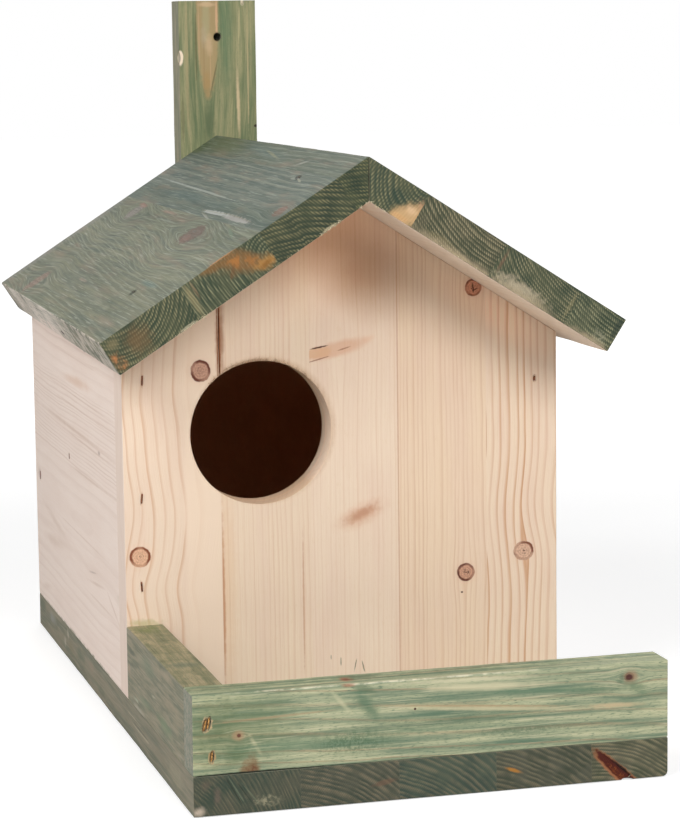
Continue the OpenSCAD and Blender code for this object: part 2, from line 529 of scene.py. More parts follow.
def tearHoles():
    # the entrance's rim, mostly at the top
    dice = random.Random(8)
    places = []
    for k in range(230):
        angle = math.radians(dice.triangular(25, 150, 95))
        rim = entrance["r"] + dice.uniform(-0.1, 0.5)
        place = Vector((entrance["x"] + rim * math.cos(angle), house["front"],
                entrance["z"] + rim * math.sin(angle))) * mm
        lean = Vector((dice.uniform(-0.7, 0.4), dice.uniform(-0.5, -0.1), dice.uniform(0.2, 1.0)))
        places.append(strand(dice, place, lean, (0.8, 2.4), (0.5, 1.0)))
    plantStrands("holeFibres", places)
    # the screw hole's far end
    dice = random.Random(9)
    places = []
    rim, farEnd = 2.3, 226.6
    for k in range(46):
        angle = math.radians(dice.uniform(-80, 80))
        place = Vector((screwHole["x"] + rim * math.cos(angle), farEnd - dice.uniform(0, 2.5),
                screwHole["z"] + rim * math.sin(angle))) * mm
        lean = Vector((-math.cos(angle) - 0.3, dice.uniform(-0.3, 0.1), -math.sin(angle) * 0.6))
        places.append(strand(dice, place, lean, (1.0, 1.9), (1.4, 2.2)))
    plantStrands("screwHoleFibres", places)
    print("torn fibres planted")


tearVerges()
tearHoles()


def workOn(newTree):
    # the node tree that all the helpers below add to
    global tree
    tree = newTree


def addNode(kind, **settings):
    made = tree.nodes.new("ShaderNode" + kind)
    for name, value in settings.items():
        setattr(made, name, value)
    return made


def feed(socket, value):
    if isinstance(value, bpy.types.NodeSocket):
        tree.links.new(value, socket)
    elif value is not None:
        socket.default_value = value


def calc(operation, *values):
    made = addNode("Math", operation=operation)
    for socket, value in zip(made.inputs, values):
        feed(socket, value)
    return made.outputs[0]


def add(a, b):
    return calc("ADD", a, b)


def mul(a, b):
    return calc("MULTIPLY", a, b)


def div(a, b):
    return calc("DIVIDE", a, b)


def vec(operation, *values):
    made = addNode("VectorMath", operation=operation)
    for socket, value in zip(made.inputs, values):
        feed(socket, value)
    return made.outputs["Value" if operation in ("LENGTH", "DOT_PRODUCT") else "Vector"]


def fade(value, low, high, toLow=0.0, toHigh=1.0):
    made = addNode("MapRange", interpolation_type="SMOOTHSTEP")
    given = {"Value": value, "From Min": low, "From Max": high, "To Min": toLow, "To Max": toHigh}
    for name, number in given.items():
        feed(made.inputs[name], number)
    return made.outputs[0]


def blend(share, under, over, mode="MIX"):
    made = addNode("Mix", data_type="RGBA", blend_type=mode)
    feed(made.inputs["Factor"], share)
    feed(made.inputs[6], under if isinstance(under, bpy.types.NodeSocket) else (*under, 1))
    feed(made.inputs[7], over if isinstance(over, bpy.types.NodeSocket) else (*over, 1))
    return made.outputs[2]


def split(vector):
    made = addNode("SeparateXYZ")
    feed(made.inputs[0], vector)
    return made.outputs


def combined(x, y, z):
    made = addNode("CombineXYZ")
    for socket, value in zip(made.inputs, (x, y, z)):
        feed(socket, value)
    return made.outputs[0]


def addScaled(vector, factor):
    made = addNode("VectorMath", operation="SCALE")
    feed(made.inputs[0], vector)
    feed(made.inputs["Scale"], factor)
    return made.outputs[0]


def fallOff(value):
    # 1 at 0, and less and less below it
    return calc("POWER", 2.718, value)


def bell(value):
    # 1 where the value is 0, falling to nothing on both sides
    return fallOff(mul(mul(value, value), -1.0))


def stretched(place, along, across, depth=None, shift=(0, 0, 0)):
    # the place divided by a grain's length and width, so that a noise is drawn out along the grain
    depth = across if depth is None else depth
    return vec("MULTIPLY", vec("ADD", place, shift), (1 / along, 1 / across, 1 / depth))


def cloud(place, detail=2.0, roughness=0.5, colour=False):
    made = addNode("TexNoise", noise_dimensions="3D")
    made.inputs["Scale"].default_value = 1.0
    made.inputs["Detail"].default_value = detail
    made.inputs["Roughness"].default_value = roughness
    feed(made.inputs["Vector"], place)
    return made.outputs["Color" if colour else "Fac"]


def newGroup(name, inputs, outputs):
    group = bpy.data.node_groups.new(name, "ShaderNodeTree")
    workOn(group)
    for label, kind, value in inputs:
        made = group.interface.new_socket(name=label, in_out="INPUT", socket_type="NodeSocket" + kind)
        if value is not None:
            made.default_value = value
    for label, kind in outputs:
        group.interface.new_socket(name=label, in_out="OUTPUT", socket_type="NodeSocket" + kind)
    return group.nodes.new("NodeGroupInput").outputs, group.nodes.new("NodeGroupOutput").inputs


def useGroup(group, **values):
    made = tree.nodes.new("ShaderNodeGroup")
    made.node_tree = group
    for name, value in values.items():
        socket = made.inputs[name]
        if isinstance(value, tuple) and socket.type == "RGBA" and len(value) == 3:
            value = (*value, 1)
        feed(socket, value)
    return made.outputs


def ringsGroup():
    # rings round a pith that runs beside the board; Late is 1 in the dark summer wood
    given, made = newGroup("growthRings",
        [("Place", "Vector", None), ("Pith", "Vector", None), ("Lean", "Vector", None),
            ("Ring", "Float", 3.0), ("Waver", "Float", 1.5), ("Drift", "Float", 3.0),
            ("Seed", "Vector", None), ("From", "Float", 0.45)],
        [("Late", "Float"), ("Number", "Float"), ("Part", "Float")])
    seeded = vec("ADD", given["Place"], given["Seed"])
    slow = cloud(stretched(seeded, 120, 42), 1.0, colour=True)
    slow = vec("MULTIPLY", vec("SUBTRACT", slow, (0.5, 0.5, 0.5)), (4, 4, 4))
    slow = addScaled(slow, given["Waver"])
    quick = cloud(stretched(seeded, 22, 5), 1.0, colour=True)
    quick = vec("MULTIPLY", vec("SUBTRACT", quick, (0.5, 0.5, 0.5)), (0.9, 0.9, 0.9))
    along = split(given["Place"])[0]
    lean = vec("MULTIPLY", given["Lean"], combined(along, along, along))
    away = vec("SUBTRACT", vec("SUBTRACT", given["Place"], given["Pith"]), lean)
    away = vec("ADD", vec("ADD", away, slow), quick)
    radius = vec("LENGTH", vec("MULTIPLY", away, (0, 1, 1)))
    swell = cloud(combined(div(radius, mul(given["Ring"], 4.0)), 0.0, 0.0), 1.0)
    years = add(div(radius, given["Ring"]), mul(swell, given["Drift"]))
    part = calc("FRACT", years)
    late = mul(fade(part, given["From"], 0.9), fade(part, 0.91, 1.0, 1.0, 0.0))
    feed(made["Late"], late)
    feed(made["Number"], calc("FLOOR", years))
    feed(made["Part"], part)
    return tree


def flowGroup():
    # the grain parts round a knot: across the board it is pushed aside, most beside the knot's middle
    given, made = newGroup("grainRoundKnot",
        [("Place", "Vector", None), ("Knot", "Vector", None), ("Size", "Float", 5.0),
            ("Push", "Float", 1.0)], [("Place", "Vector")])
    along, across, depth = split(vec("SUBTRACT", given["Place"], given["Knot"]))
    near = bell(div(along, mul(given["Size"], 3.0)))
    beside = fallOff(div(calc("ABSOLUTE", across), mul(given["Size"], -2.2)))
    side = div(across, add(calc("ABSOLUTE", across), mul(given["Size"], 0.25)))
    push = mul(mul(near, beside), mul(side, given["Push"]))
    push = mul(push, given["Size"])
    feed(made["Place"], vec("SUBTRACT", given["Place"], combined(0.0, push, 0.0)))
    return tree


def spotGroup():
    # how far a point is from a spot's middle, where 1 is its edge, with an uneven edge
    given, made = newGroup("spot",
        [("Place", "Vector", None), ("Middle", "Vector", None), ("Size", "Vector", (5, 5, 1000)),
            ("Turn", "Vector", (0, 0, 0)), ("Wobble", "Float", 0.2), ("Grain", "Float", 3.0)],
        [("Distance", "Float")])
    mapped = addNode("Mapping", vector_type="TEXTURE")
    feed(mapped.inputs["Vector"], given["Place"])
    feed(mapped.inputs["Location"], given["Middle"])
    feed(mapped.inputs["Rotation"], given["Turn"])
    feed(mapped.inputs["Scale"], given["Size"])
    stir = cloud(vec("DIVIDE", given["Place"],
            combined(given["Grain"], given["Grain"], given["Grain"])), 2.0)
    stir = mul(calc("SUBTRACT", stir, 0.5), given["Wobble"])
    feed(made["Distance"], add(vec("LENGTH", mapped.outputs[0]), mul(stir, 2.0)))
    return tree


growthRings = ringsGroup()
grainRoundKnot = flowGroup()
spotShape = spotGroup()
endless = 9000  # how far a mark reaches that goes right through its board


def spot(at, size, colour, strength=1.0, soft=0.5, **more):
    # a mark on a board: its middle and half its size along and across the grain, a painter's colour,
    # how strong it is, and how much of it is soft edge
    return dict(more, at=at, size=size, colour=rgb(*colour), strength=strength, soft=soft)


def tone(at, size, share, soft=0.5, **more):
    # a mark that darkens or lightens what it lies on
    return dict(more, at=at, size=size, colour=share, strength=1.0, soft=soft, mode="MULTIPLY")


def spotDistance(place, s, shownEnd):
    # a mark on end grain is placed by (across, depth) and lies at the end that shows, unless it says both;
    # any other may start below the face, and deep is how far it reaches in
    middle, size, turn = s["at"], s["size"], math.radians(s.get("turn", 0))
    if shownEnd is None:
        middle, size, turn = (*middle, s.get("below", 0)), (*size, s.get("deep", endless)), (0, 0, turn)
    else:
        along, reach = (0, endless) if "bothEnds" in s else (shownEnd, 150)
        middle, size, turn = (along, *middle), (reach, *size), (turn, 0, 0)
    return useGroup(spotShape, Place=place, Middle=middle, Size=size, Turn=turn,
        Wobble=s.get("wobble", 0.25), Grain=s.get("grain", 3.0))["Distance"]


def knotGroup():
    # a branch cut through: a ringed, pinkish disc with a dark rim, small cracks, and pale wood round it
    given, made = newGroup("knot",
        [("Colour", "Color", None), ("Place", "Vector", None), ("Middle", "Vector", None),
            ("Size", "Vector", (5, 5, 1000)), ("Turn", "Vector", (0, 0, 0)), ("Core", "Color", None),
            ("Rim", "Color", None), ("Rim Strength", "Float", 1.0), ("Strength", "Float", 1.0),
            ("Cracks", "Float", 0.5), ("Wobble", "Float", 0.12)],
        [("Colour", "Color"), ("Mask", "Float")])
    shape = useGroup(spotShape, Grain=3.0,
        **{key: given[key] for key in ("Place", "Middle", "Size", "Turn", "Wobble")})["Distance"]
    inside = fade(shape, 0.98, 1.1, 1.0, 0.0)
    rings = mul(add(calc("SINE", mul(shape, 25.0)), 1.0), 0.5)
    speck = cloud(addScaled(given["Place"], 1.1), 2.0)
    shade = add(mul(rings, 0.14), fade(speck, 0.35, 0.7, 0.0, 0.3))
    core = blend(shade, given["Core"], given["Rim"])
    bow = cloud(addScaled(given["Place"], 0.14), 1.0)
    rim = mul(fade(shape, 0.68, 0.88), fade(shape, 0.98, 1.1, 1.0, 0.0))
    rim = mul(rim, fade(bow, 0.35, 0.6, 0.3, 1.0))
    core = blend(mul(rim, given["Rim Strength"]), core, given["Rim"])
    split = cloud(vec("MULTIPLY", given["Place"], (0.5, 1.1, 0.5)), 1.0)
    split = fade(calc("ABSOLUTE", calc("SUBTRACT", split, 0.5)), 0.006, 0.03, 1.0, 0.0)
    split = mul(mul(split, fade(shape, 0.3, 0.6, 1.0, 0.0)), given["Cracks"])
    core = blend(split, core, rgb(66, 34, 26))
    halo = mul(fade(shape, 1.0, 1.8, 0.3, 0.0), given["Strength"])
    around = blend(halo, given["Colour"], blend(0.4, given["Colour"], given["Core"]))
    feed(made["Colour"], blend(mul(inside, given["Strength"]), around, core))
    feed(made["Mask"], inside)
    return tree


knotPaint = knotGroup()

knotCore = rgb(204, 160, 136)
knotRim = rgb(104, 54, 40)


def newMaterial(name):
    made = bpy.data.materials.new(name)
    made.use_nodes = True
    workOn(made.node_tree)
    return made, tree.nodes["Principled BSDF"]


def startMaterial(name, panel):
    # returns the place in the board's own axes too, in millimetres, and how a face looks along each
    made, shader = newMaterial(name)
    coordinates = addNode("TexCoord")
    mapped = addNode("Mapping", vector_type="TEXTURE")
    feed(mapped.inputs["Vector"], coordinates.outputs["Object"])
    a = axes[panel]
    mapped.inputs["Location"].default_value = a["origin"]
    mapped.inputs["Rotation"].default_value = a["turn"].to_euler()
    mapped.inputs["Scale"].default_value = (mm, mm, mm)
    facing = calc("ABSOLUTE", vec("DOT_PRODUCT", coordinates.outputs["Normal"], tuple(a["along"])))
    sideways, inward = (vec("DOT_PRODUCT", coordinates.outputs["Normal"], tuple(a["turn"].col[k]))
        for k in (1, 2))
    return made, shader, mapped.outputs[0], (facing, sideways, inward)


def woodGrain(place, grain, knots):
    flowing = place
    for where, shift, reach in grain.get("bends", ()):
        far = div(calc("SUBTRACT", split(place)[0], float(where)), float(reach))
        flowing = vec("SUBTRACT", flowing, combined(0.0, mul(bell(far), float(shift)), 0.0))
    for knot in knots:
        flowing = useGroup(grainRoundKnot, Place=flowing, Knot=(*knot["at"], 0), Size=max(knot["size"]),
            Push=knot.get("push", 1.0))["Place"]
    rings = useGroup(growthRings, Place=flowing, Pith=(0, *grain["pith"]),
        Lean=(0, *grain.get("lean", (0, 0))), Ring=grain["ring"], Waver=grain.get("waver", 1.0),
        Drift=grain.get("drift", 3.0), Seed=tuple(grain["seed"] * k for k in (13.7, 7.1, 3.3)),
        From=grain.get("lateFrom", 0.45))
    odd = addNode("TexWhiteNoise", noise_dimensions="1D")
    feed(odd.inputs["W"], add(rings["Number"], float(grain["seed"])))
    uneven = cloud(stretched(flowing, 60, 9, shift=(grain["seed"] * 31, 0, 0)), 1.0)
    odds = fade(odd.outputs["Value"], 0.0, 1.0, grain.get("weakest", 0.45), 1.0)
    strength = mul(odds, fade(uneven, 0.3, 0.62, 0.6, 1.0))
    fibre = cloud(stretched(flowing, 26, 0.42), 2.0, 0.6)
    return flowing, mul(rings["Late"], strength), fibre, rings


def paintKnots(colour, place, knots):
    for knot in knots:
        if knot.get("hidden"):
            continue
        colour = useGroup(knotPaint, **{"Colour": colour, "Place": place, "Middle": (*knot["at"], 0),
            "Size": (*knot["size"], endless), "Turn": (0, 0, math.radians(knot.get("turn", 0))),
            "Core": knot.get("core", knotCore), "Rim": knot.get("rim", knotRim),
            "Rim Strength": knot.get("rimStrength", 1.0), "Strength": knot.get("strength", 1.0),
            "Cracks": knot.get("cracks", 0.5), "Wobble": knot.get("wobble", 0.12)})["Colour"]
    return colour


def paintSpots(colour, place, spots, shownEnd=None):
    for s in spots:
        share = fade(spotDistance(place, s, shownEnd), 1.0 - s["soft"], 1.0, s["strength"], 0.0)
        if "mottle" in s:
            patchy = cloud(addScaled(place, 1 / s["mottle"]), 3.0, 0.6)
            share = mul(share, fade(patchy, 0.42, 0.58, 0.15, 1.0))
        colour = blend(share, colour, s["colour"], s.get("mode", "MIX"))
    return colour


def finishShader(shader, colour, roughness, height, distance):
    feed(shader.inputs["Base Color"], colour)
    feed(shader.inputs["Roughness"], roughness)
    shader.inputs["Specular IOR Level"].default_value = 0.3
    bump = addNode("Bump")
    bump.inputs["Strength"].default_value = 0.6
    bump.inputs["Distance"].default_value = distance * mm
    feed(bump.inputs["Height"], height)
    feed(shader.inputs["Normal"], bump.outputs[0])


# inside is a warmer, redder spruce for the faces within the nest chamber: painted shade
bareColours = {"early": rgb(241, 219, 196), "late": rgb(216, 176, 144), "pink": rgb(232, 203, 184),
    "inside": rgb(250, 196, 160)}


def bareSpruce(name, panel, plan):
    made, shader, place, (facing, sideways, inward) = startMaterial(name, panel)
    grain, knots = plan["grain"], plan.get("knots", ())
    endFace = fade(facing, 0.55, 0.8)
    flowing, late, fibre, rings = woodGrain(place, grain, knots)
    early = grain.get("early", bareColours["early"])
    lateColour = grain.get("late", bareColours["late"])
    warm = cloud(stretched(place, 70, 14, shift=(grain["seed"] * 17, 5, 0)), 2.0)
    colour = blend(fade(warm, 0.35, 0.75, 0.0, 0.45), early, grain.get("pink", bareColours["pink"]))
    colour = blend(mul(late, grain.get("contrast", 0.6)), colour, lateColour)
    colour = blend(fade(fibre, 0.3, 0.75, 0.0, 0.16), colour, lateColour)
    colour = blend(mul(endFace, 0.55), colour, rgb(214, 176, 140))
    fleck = cloud(stretched(flowing, 4.0, 0.7), 2.0, 0.6)
    colour = blend(fade(fleck, 0.55, 0.75, 0.0, 0.22), colour, rgb(222, 190, 150))
    colour = paintSpots(colour, place, plan.get("under", ()))
    colour = paintKnots(colour, place, knots)
    colour = paintSpots(colour, place, plan.get("marks", ()))
    # the nest chamber's side of the board, in a warmer, redder spruce that paints the chamber's shade
    colour = blend(fade(inward, 0.4, 0.8, 0.0, 1.0), colour, bareColours["inside"])
    height = add(mul(late, 0.5), fibre)
    finishShader(shader, colour, fade(fibre, 0.2, 0.8, 0.62, 0.8), height, 0.12)
    return made


def dressed(piece, material):
    piece.data.materials.clear()
    piece.data.materials.append(material)


def dress(name, material):
    dressed(boards[name], material)


darkBrown = (72, 38, 28)
warmLine = (186, 124, 82)
# painted shade: a warm, darker tint over the gable's peak, for the warm shadow under the roof
paintedGableWarmShade = tone((246, -6), (58, 66), rgb(255, 232, 214), 1.0, wobble=0.1, grain=20)
# painted light on the cut face of the entrance, and painted shade on the soft arris round its right and top
paintedHoleLight = tone((145, -41.5), (36, 36), (1.2, 1.14, 1.08), 0.06, below=10, deep=9.2, wobble=0)
paintedHoleShade = tone((146, -40.4), (37.6, 37.6), (0.84, 0.79, 0.73), 0.1, below=0, deep=2, wobble=0.02, grain=2)
# painted shadow of the roof's overhang on the gable, under the ridge and along the right slope
paintedGableShadow = tone((220, 10), (26, 40), (0.64, 0.54, 0.47), 1.0, turn=34, wobble=0.1, grain=20)


# painted light: a lighter band along the right slope, under the eave, for light thrown back by the roof's
# underside
def paintedEaveLight(share):
    return tone((200, 75), (15, 52), share, 1.0, turn=33, wobble=0.1, grain=20)


frontStaves = [
    {"grain": {"pith": (-58, 30), "ring": 4.1, "seed": 1, "waver": 0.5, "contrast": 0.85, "drift": 1.2,
         "weakest": 0.5, "lateFrom": 0.6, "early": rgb(239, 216, 193),
         "bends": [(108, 3.0, 18), (163, -1.5, 12), (71, -2.5, 11)]},
     "knots": [
         {"at": (176.4, -71), "size": (5.2, 4.7), "push": 0.8},
         {"at": (87.6, -102.5), "size": (4.9, 5.1), "push": 0.6, "core": rgb(236, 190, 156),
             "rim": rgb(130, 70, 44)}],
     "under": [spot((100, -70.5), (400, 11), (242, 218, 194), 0.8, 0.35, wobble=0.12, grain=14)],
     "marks": [
         spot((190, -62.6), (30, 1.5), (176, 122, 88), 0.6, 0.9, wobble=0.4, grain=4),
         spot((190, -62.5), (30, 0.4), (140, 84, 52), soft=0.6, wobble=0.5, grain=3),
         spot((54.6, -101), (3.4, 14), (176, 170, 116), 0.6, 0.95, turn=4, wobble=0.6, grain=2.5),
         paintedHoleLight,
         paintedHoleShade,
         # painted shade: the board's left end takes the side walls' greyer tone
         spot((100, -110.3), (400, 0.8), (217, 199, 187), 0.85, 0.15, wobble=0)]},
    {"grain": {"pith": (-190, 60), "ring": 2.3, "seed": 2, "waver": 0.6, "contrast": 0.42,
         "early": rgb(239, 217, 192), "drift": 2.2, "weakest": 0.3},
     "under": [paintedGableWarmShade, paintedGableShadow,
         spot((70, -59.5), (80, 7), (228, 192, 156), 0.5, 0.95)],
     "marks": [
         spot((193, -60.7), (30, 2.4), (170, 124, 94), 0.85, 0.9, wobble=0.3, grain=5),
         spot((190, -61.4), (30, 0.6), (150, 92, 58), soft=0.6, wobble=0.5, grain=3),
         paintedHoleLight,
         paintedHoleShade,
         spot((63, -61.6), (57, 1.1), warmLine, 0.7, 0.7, wobble=0.3),
         spot((60, -21.5), (44, 0.6), warmLine, 0.5, wobble=0.3)]},
    {"grain": {"pith": (130, 40), "ring": 2.2, "seed": 3, "waver": 0.5, "contrast": 0.34, "drift": 2.0,
         "weakest": 0.3},
     "knots": [{"at": (184, -2), "size": (4, 8), "push": 0.35, "hidden": True}],
     "under": [paintedGableWarmShade, paintedGableShadow],
     "marks": [paintedHoleLight, paintedHoleShade,
         spot((140, 27.5), (300, 0.55), warmLine, 0.5, 0.7, wobble=0.15),
         spot((101.8, 8), (7.4, 18), (212, 162, 130), 0.65, 0.9, turn=-23),
         spot((102.4, 8.8), (3.8, 13), (184, 124, 92), 0.55, 0.9, turn=-25, wobble=0.4),
         spot((184.2, -2.6), (5.0, 20), (220, 168, 134), 0.6, 0.6, turn=-13, wobble=0.12),
         spot((182.6, -13), (3.6, 9), (224, 178, 140), 0.75, turn=-8),
         spot((188.5, 13), (2.6, 5), (232, 180, 140), 0.3, 0.95, turn=-20),
         spot((185.3, -12), (0.5, 5.5), darkBrown, 0.95, turn=-10, wobble=0.35, grain=1.5),
         spot((179.4, -12.5), (0.45, 6), (150, 90, 66), 0.7, turn=-14, wobble=0.4),
         spot((184.2, 0.5), (0.5, 4), (150, 84, 56), 0.6, turn=-16, wobble=0.4),
         spot((29, -3), (3, 0.35), (112, 108, 82), 0.7, wobble=0.5),
         spot((27, 4.5), (4, 0.45), (112, 108, 82), 0.8, turn=12, wobble=0.5),
         spot((25.5, 8.5), (3, 0.5), (112, 108, 82), 0.75, turn=-14, wobble=0.5),
         spot((31.5, -8), (1.5, 0.3), (112, 108, 82), 0.6, wobble=0.5)]},
    {"grain": {"pith": (-120, 45), "ring": 2.3, "seed": 4, "waver": 0.9, "contrast": 0.5, "drift": 3.2,
         "weakest": 0.1, "early": rgb(239, 214, 187), "late": rgb(210, 166, 130)},
     "knots": [
         {"at": (69.6, 62), "size": (4.4, 4.4), "core": rgb(214, 164, 136), "rim": rgb(96, 50, 38),
             "cracks": 1.0, "push": 0.5},
         {"at": (211.6, 66.8), "size": (4.2, 4.2), "rim": rgb(100, 46, 32), "core": rgb(222, 152, 118),
             "cracks": 1.0, "push": 0.5}],
     "under": [paintedGableWarmShade, paintedGableShadow,
         paintedEaveLight((1.14, 1.06, 1.01))],
     "marks": [
         spot((59.6, 59.9), (0.6, 0.8), darkBrown),
         spot((69.4, 62.2), (0.4, 2.0), darkBrown, 0.6, turn=14, wobble=0.5),
         spot((70.3, 61.6), (1.7, 0.4), darkBrown, 0.5, turn=20, wobble=0.5),
         spot((211.4, 66.6), (2.8, 0.55), (60, 26, 18), 0.85, turn=-8, wobble=0.5),
         spot((210.6, 67.6), (0.5, 2.0), (60, 26, 18), 0.7, turn=-24)]},
    {"grain": {"pith": (-30, 35), "ring": 4.0, "seed": 5, "waver": 0.8, "contrast": 1.0, "drift": 1.8,
         "weakest": 0.45, "lateFrom": 0.5, "early": rgb(241, 218, 193), "late": rgb(204, 152, 112),
         "bends": [(84, 2.0, 60), (100, -3.5, 22)]},
     "knots": [
         {"at": (78.6, 92.4), "size": (4.7, 5.2), "core": rgb(226, 186, 158), "rim": rgb(124, 72, 52),
             "push": 0.5}],
     "under": [paintedEaveLight((1.24, 1.14, 1.09))],
     "marks": [spot((78.7, 92.6), (0.45, 1.0), darkBrown, 0.8, turn=20)]}]
for i, plan in enumerate(frontStaves):
    dress("frontWallStave%d" % (i + 1), bareSpruce("frontSpruce%d" % (i + 1), "frontWall", plan))
for i, (pith, ring) in enumerate(((-60, 4), (140, 2.3), (-150, 2.6), (40, 4.2), (90, 2.8))):
    plan = {"grain": {"pith": (pith, 34), "ring": ring, "seed": 11 + i}}
    dress("backWallStave%d" % (i + 1), bareSpruce("backSpruce%d" % (i + 1), "backWall", plan))


def wallMark(at, size, turn=0, colour=(202, 178, 162), strength=0.6, **more):
    # a long soft line on the side walls, whose greyer tone is painted shade
    return spot(at, size, colour, strength, 0.95, turn=turn, wobble=0.3, grain=12, **more)


leftWallMarks = [
    [
        wallMark((80, 18.6), (200, 1.6), colour=(132, 126, 102), strength=0.8, mottle=7),
        wallMark((-41, 66), (4.5, 8), colour=(198, 186, 164), strength=0.35),
        wallMark((-27, 56), (24, 1.4), 19),
        wallMark((18, 59.5), (36, 1.3), -5),
        wallMark((28, 63.8), (15, 0.8), -7, colour=(170, 146, 136)),
        wallMark((150, 59), (54, 4.5), -4, strength=0.45),
        wallMark((10, 51), (60, 1.0), strength=0.5),
        wallMark((178, 28), (24, 3), -8, strength=0.35)],
    [
        wallMark((140, 70.5), (52, 3.4), 6, strength=0.45),
        wallMark((60, 77), (110, 0.8), strength=0.5),
        wallMark((195, 90), (8, 5), colour=(160, 140, 134), strength=0.6)],
    [
        wallMark((80, 131.3), (170, 1.6), strength=0.7),
        wallMark((40, 128), (120, 0.9)),
        wallMark((30, 111.3), (120, 1.2), -1, strength=0.6),
        wallMark((50, 150), (150, 0.7)),
        wallMark((2, 129.4), (5, 1.8), colour=(172, 148, 138), strength=0.9),
        wallMark((60, 144), (130, 0.6), strength=0.5)],
    [
        wallMark((64, 158), (58, 4.0), -2, colour=(217, 190, 172), strength=0.9),
        wallMark((70, 170), (100, 0.7), strength=0.4),
        wallMark((37, 177.6), (6, 1.4), colour=(90, 66, 56), strength=0.9)]]
# painted shade: the side walls are a cooler, greyer copy of the front's spruce
shadedWallGrain = {"early": rgb(231, 215, 204), "late": rgb(212, 191, 178), "pink": rgb(222, 202, 190),
    "drift": 2.5, "waver": 1.6}
wallRings = [
    {"pith": (70, 30), "ring": 4.2, "contrast": 0.5},
    {"pith": (84, 24), "ring": 5.0, "contrast": 0.5},
    {"pith": (330, 60), "ring": 2.1, "contrast": 1.0},
    {"pith": (100, 40), "ring": 4.6, "contrast": 0.6}]
for panel, seed, marks in (("leftWall", 21, leftWallMarks), ("rightWall", 31, [()] * 4)):
    for i, rings in enumerate(wallRings):
        plan = {"grain": dict(shadedWallGrain, seed=seed + i, **rings), "marks": marks[i]}
        dress("%sStave%d" % (panel, i + 1), bareSpruce("%sSpruce%d" % (panel, i + 1), panel, plan))
print("bare spruce made")


greenColours = {"deep": rgb(92, 116, 92), "mid": rgb(136, 150, 116), "pale": rgb(184, 184, 146),
    "late": rgb(126, 128, 88), "endDeep": rgb(54, 66, 48), "endMid": rgb(78, 83, 60),
    "endPale": rgb(138, 132, 98), "hatch": rgb(38, 50, 38)}


# where the front end of each green panel lies, along the panel
shownEnds = {"base": house["porchFront"], "leftRoof": -house["roofFront"], "rightRoof": house["roofFront"]}


def stainStreaks(place, flowing, grain):
    # along the grain the stain lies in drawn-out streaks
    streak = cloud(stretched(flowing, grain.get("streak", 70), grain.get("band", 4.5),
            shift=(grain["seed"] * 19, 0, 0)), 3.0, 0.6)
    drift = cloud(stretched(place, 45, 16, shift=(0, grain["seed"] * 9, 0)), 2.0)
    thin = cloud(stretched(flowing, 34, 0.9, shift=(0, grain["seed"] * 3, 0)), 2.0, 0.6)
    uptake = add(mul(streak, 0.62), mul(drift, 0.2))
    return streak, thin, add(uptake, mul(thin, 0.18))


def stainedFace(place, wood, streaks, shade, plan):
    flowing, late, fibre, rings = wood
    streak, thin, uptake = streaks
    grain = plan["grain"]
    chalk = fade(thin, 0.56, 0.7, 0.0, grain.get("chalk", 0.2))
    face = blend(fade(uptake, 0.36, 0.64), shade["pale"], shade["deep"])
    face = blend(grain.get("level", 0.35), face, shade["mid"])
    face = blend(mul(late, grain.get("contrast", 0.4)), face, shade["late"])
    pores = cloud(stretched(flowing, 3.0, 0.45), 2.0, 0.6)
    face = blend(fade(pores, 0.52, 0.72, 0.0, grain.get("pores", 0.3)), face, shade["deep"])
    face = blend(fade(fibre, 0.35, 0.75, 0.0, 0.22), face, shade["deep"])
    if "hue" in grain:
        tan = cloud(stretched(flowing, 60, 9, shift=(9, grain["seed"] * 5, 0)), 3.0, 0.6)
        face = blend(fade(tan, 0.5, 0.72, 0.0, 0.6), face, grain["hue"])
    face = paintKnots(face, place, plan.get("knots", ()))
    face = paintSpots(face, place, plan.get("marks", ()))
    face = blend(chalk, face, grain.get("chalkColour", shade["pale"]))
    face = blend(fade(thin, 0.3, 0.45, grain.get("overlay", 0.15), 0.0), face, shade["deep"])
    return paintSpots(face, place, plan.get("over", ()))


def stainedEnd(place, rings, shade, plan, shownEnd):
    # end grain drinks more stain; the dense rings stay paler, and the saw leaves fine marks across them
    grain = plan["grain"]
    end = blend(fade(cloud(stretched(place, 30, 11, shift=(0, grain["seed"] * 7, 0)), 2.0), 0.35, 0.65),
        shade["endDeep"], shade["endMid"])
    end = paintSpots(end, place, plan.get("underEnd", ()), shownEnd)
    along, across, depth = split(place)
    jitter = mul(cloud(stretched(place, 5, 5), 1.0), 3.0)
    tooth = add(mul(depth, grain.get("sawLean", 0.2)), across)
    tooth = add(div(mul(tooth, 6.283), grain.get("saw", 1.3)), jitter)
    hatch = fade(calc("SINE", tooth), -0.9, 1.0)
    sheen = cloud(stretched(place, 30, 7, shift=(0, 0, grain["seed"] * 5)), 2.0)
    soft = fade(rings["Part"], 0.15, 0.75, 0.0, 0.9)
    soft = mul(soft, fade(rings["Part"], 0.75, 1.0, 1.0, 0.0))
    ringShare = mul(mul(soft, grain.get("endContrast", 0.8)),
        fade(hatch, 0.0, 1.0, grain.get("weave", 0.45), 1.0))
    ringShare = mul(ringShare, fade(sheen, 0.35, 0.6, 0.35, 1.0))
    end = blend(ringShare, end, shade["endPale"])
    end = blend(fade(hatch, 0.0, 1.0, grain.get("sawMark", 0.4), 0.0), end, shade["hatch"])
    return paintSpots(end, place, plan.get("end", ()), shownEnd), hatch, along, across


def bareUnderside(colour, late, inward, along, across, nestMiddle):
    # the roof was only stained on top; over the nest chamber it takes the chamber's warmer, redder colour,
    # which paints the chamber's shade
    bare = blend(mul(late, 0.2), rgb(248, 230, 212), bareColours["late"])
    nest = mul(fade(calc("ABSOLUTE", add(along, nestMiddle)), 112, 118, 1.0, 0.0),
        fade(across, 100, 106, 1.0, 0.0))
    bare = blend(nest, bare, bareColours["inside"])
    return blend(fade(inward, 0.5, 0.8), colour, bare)


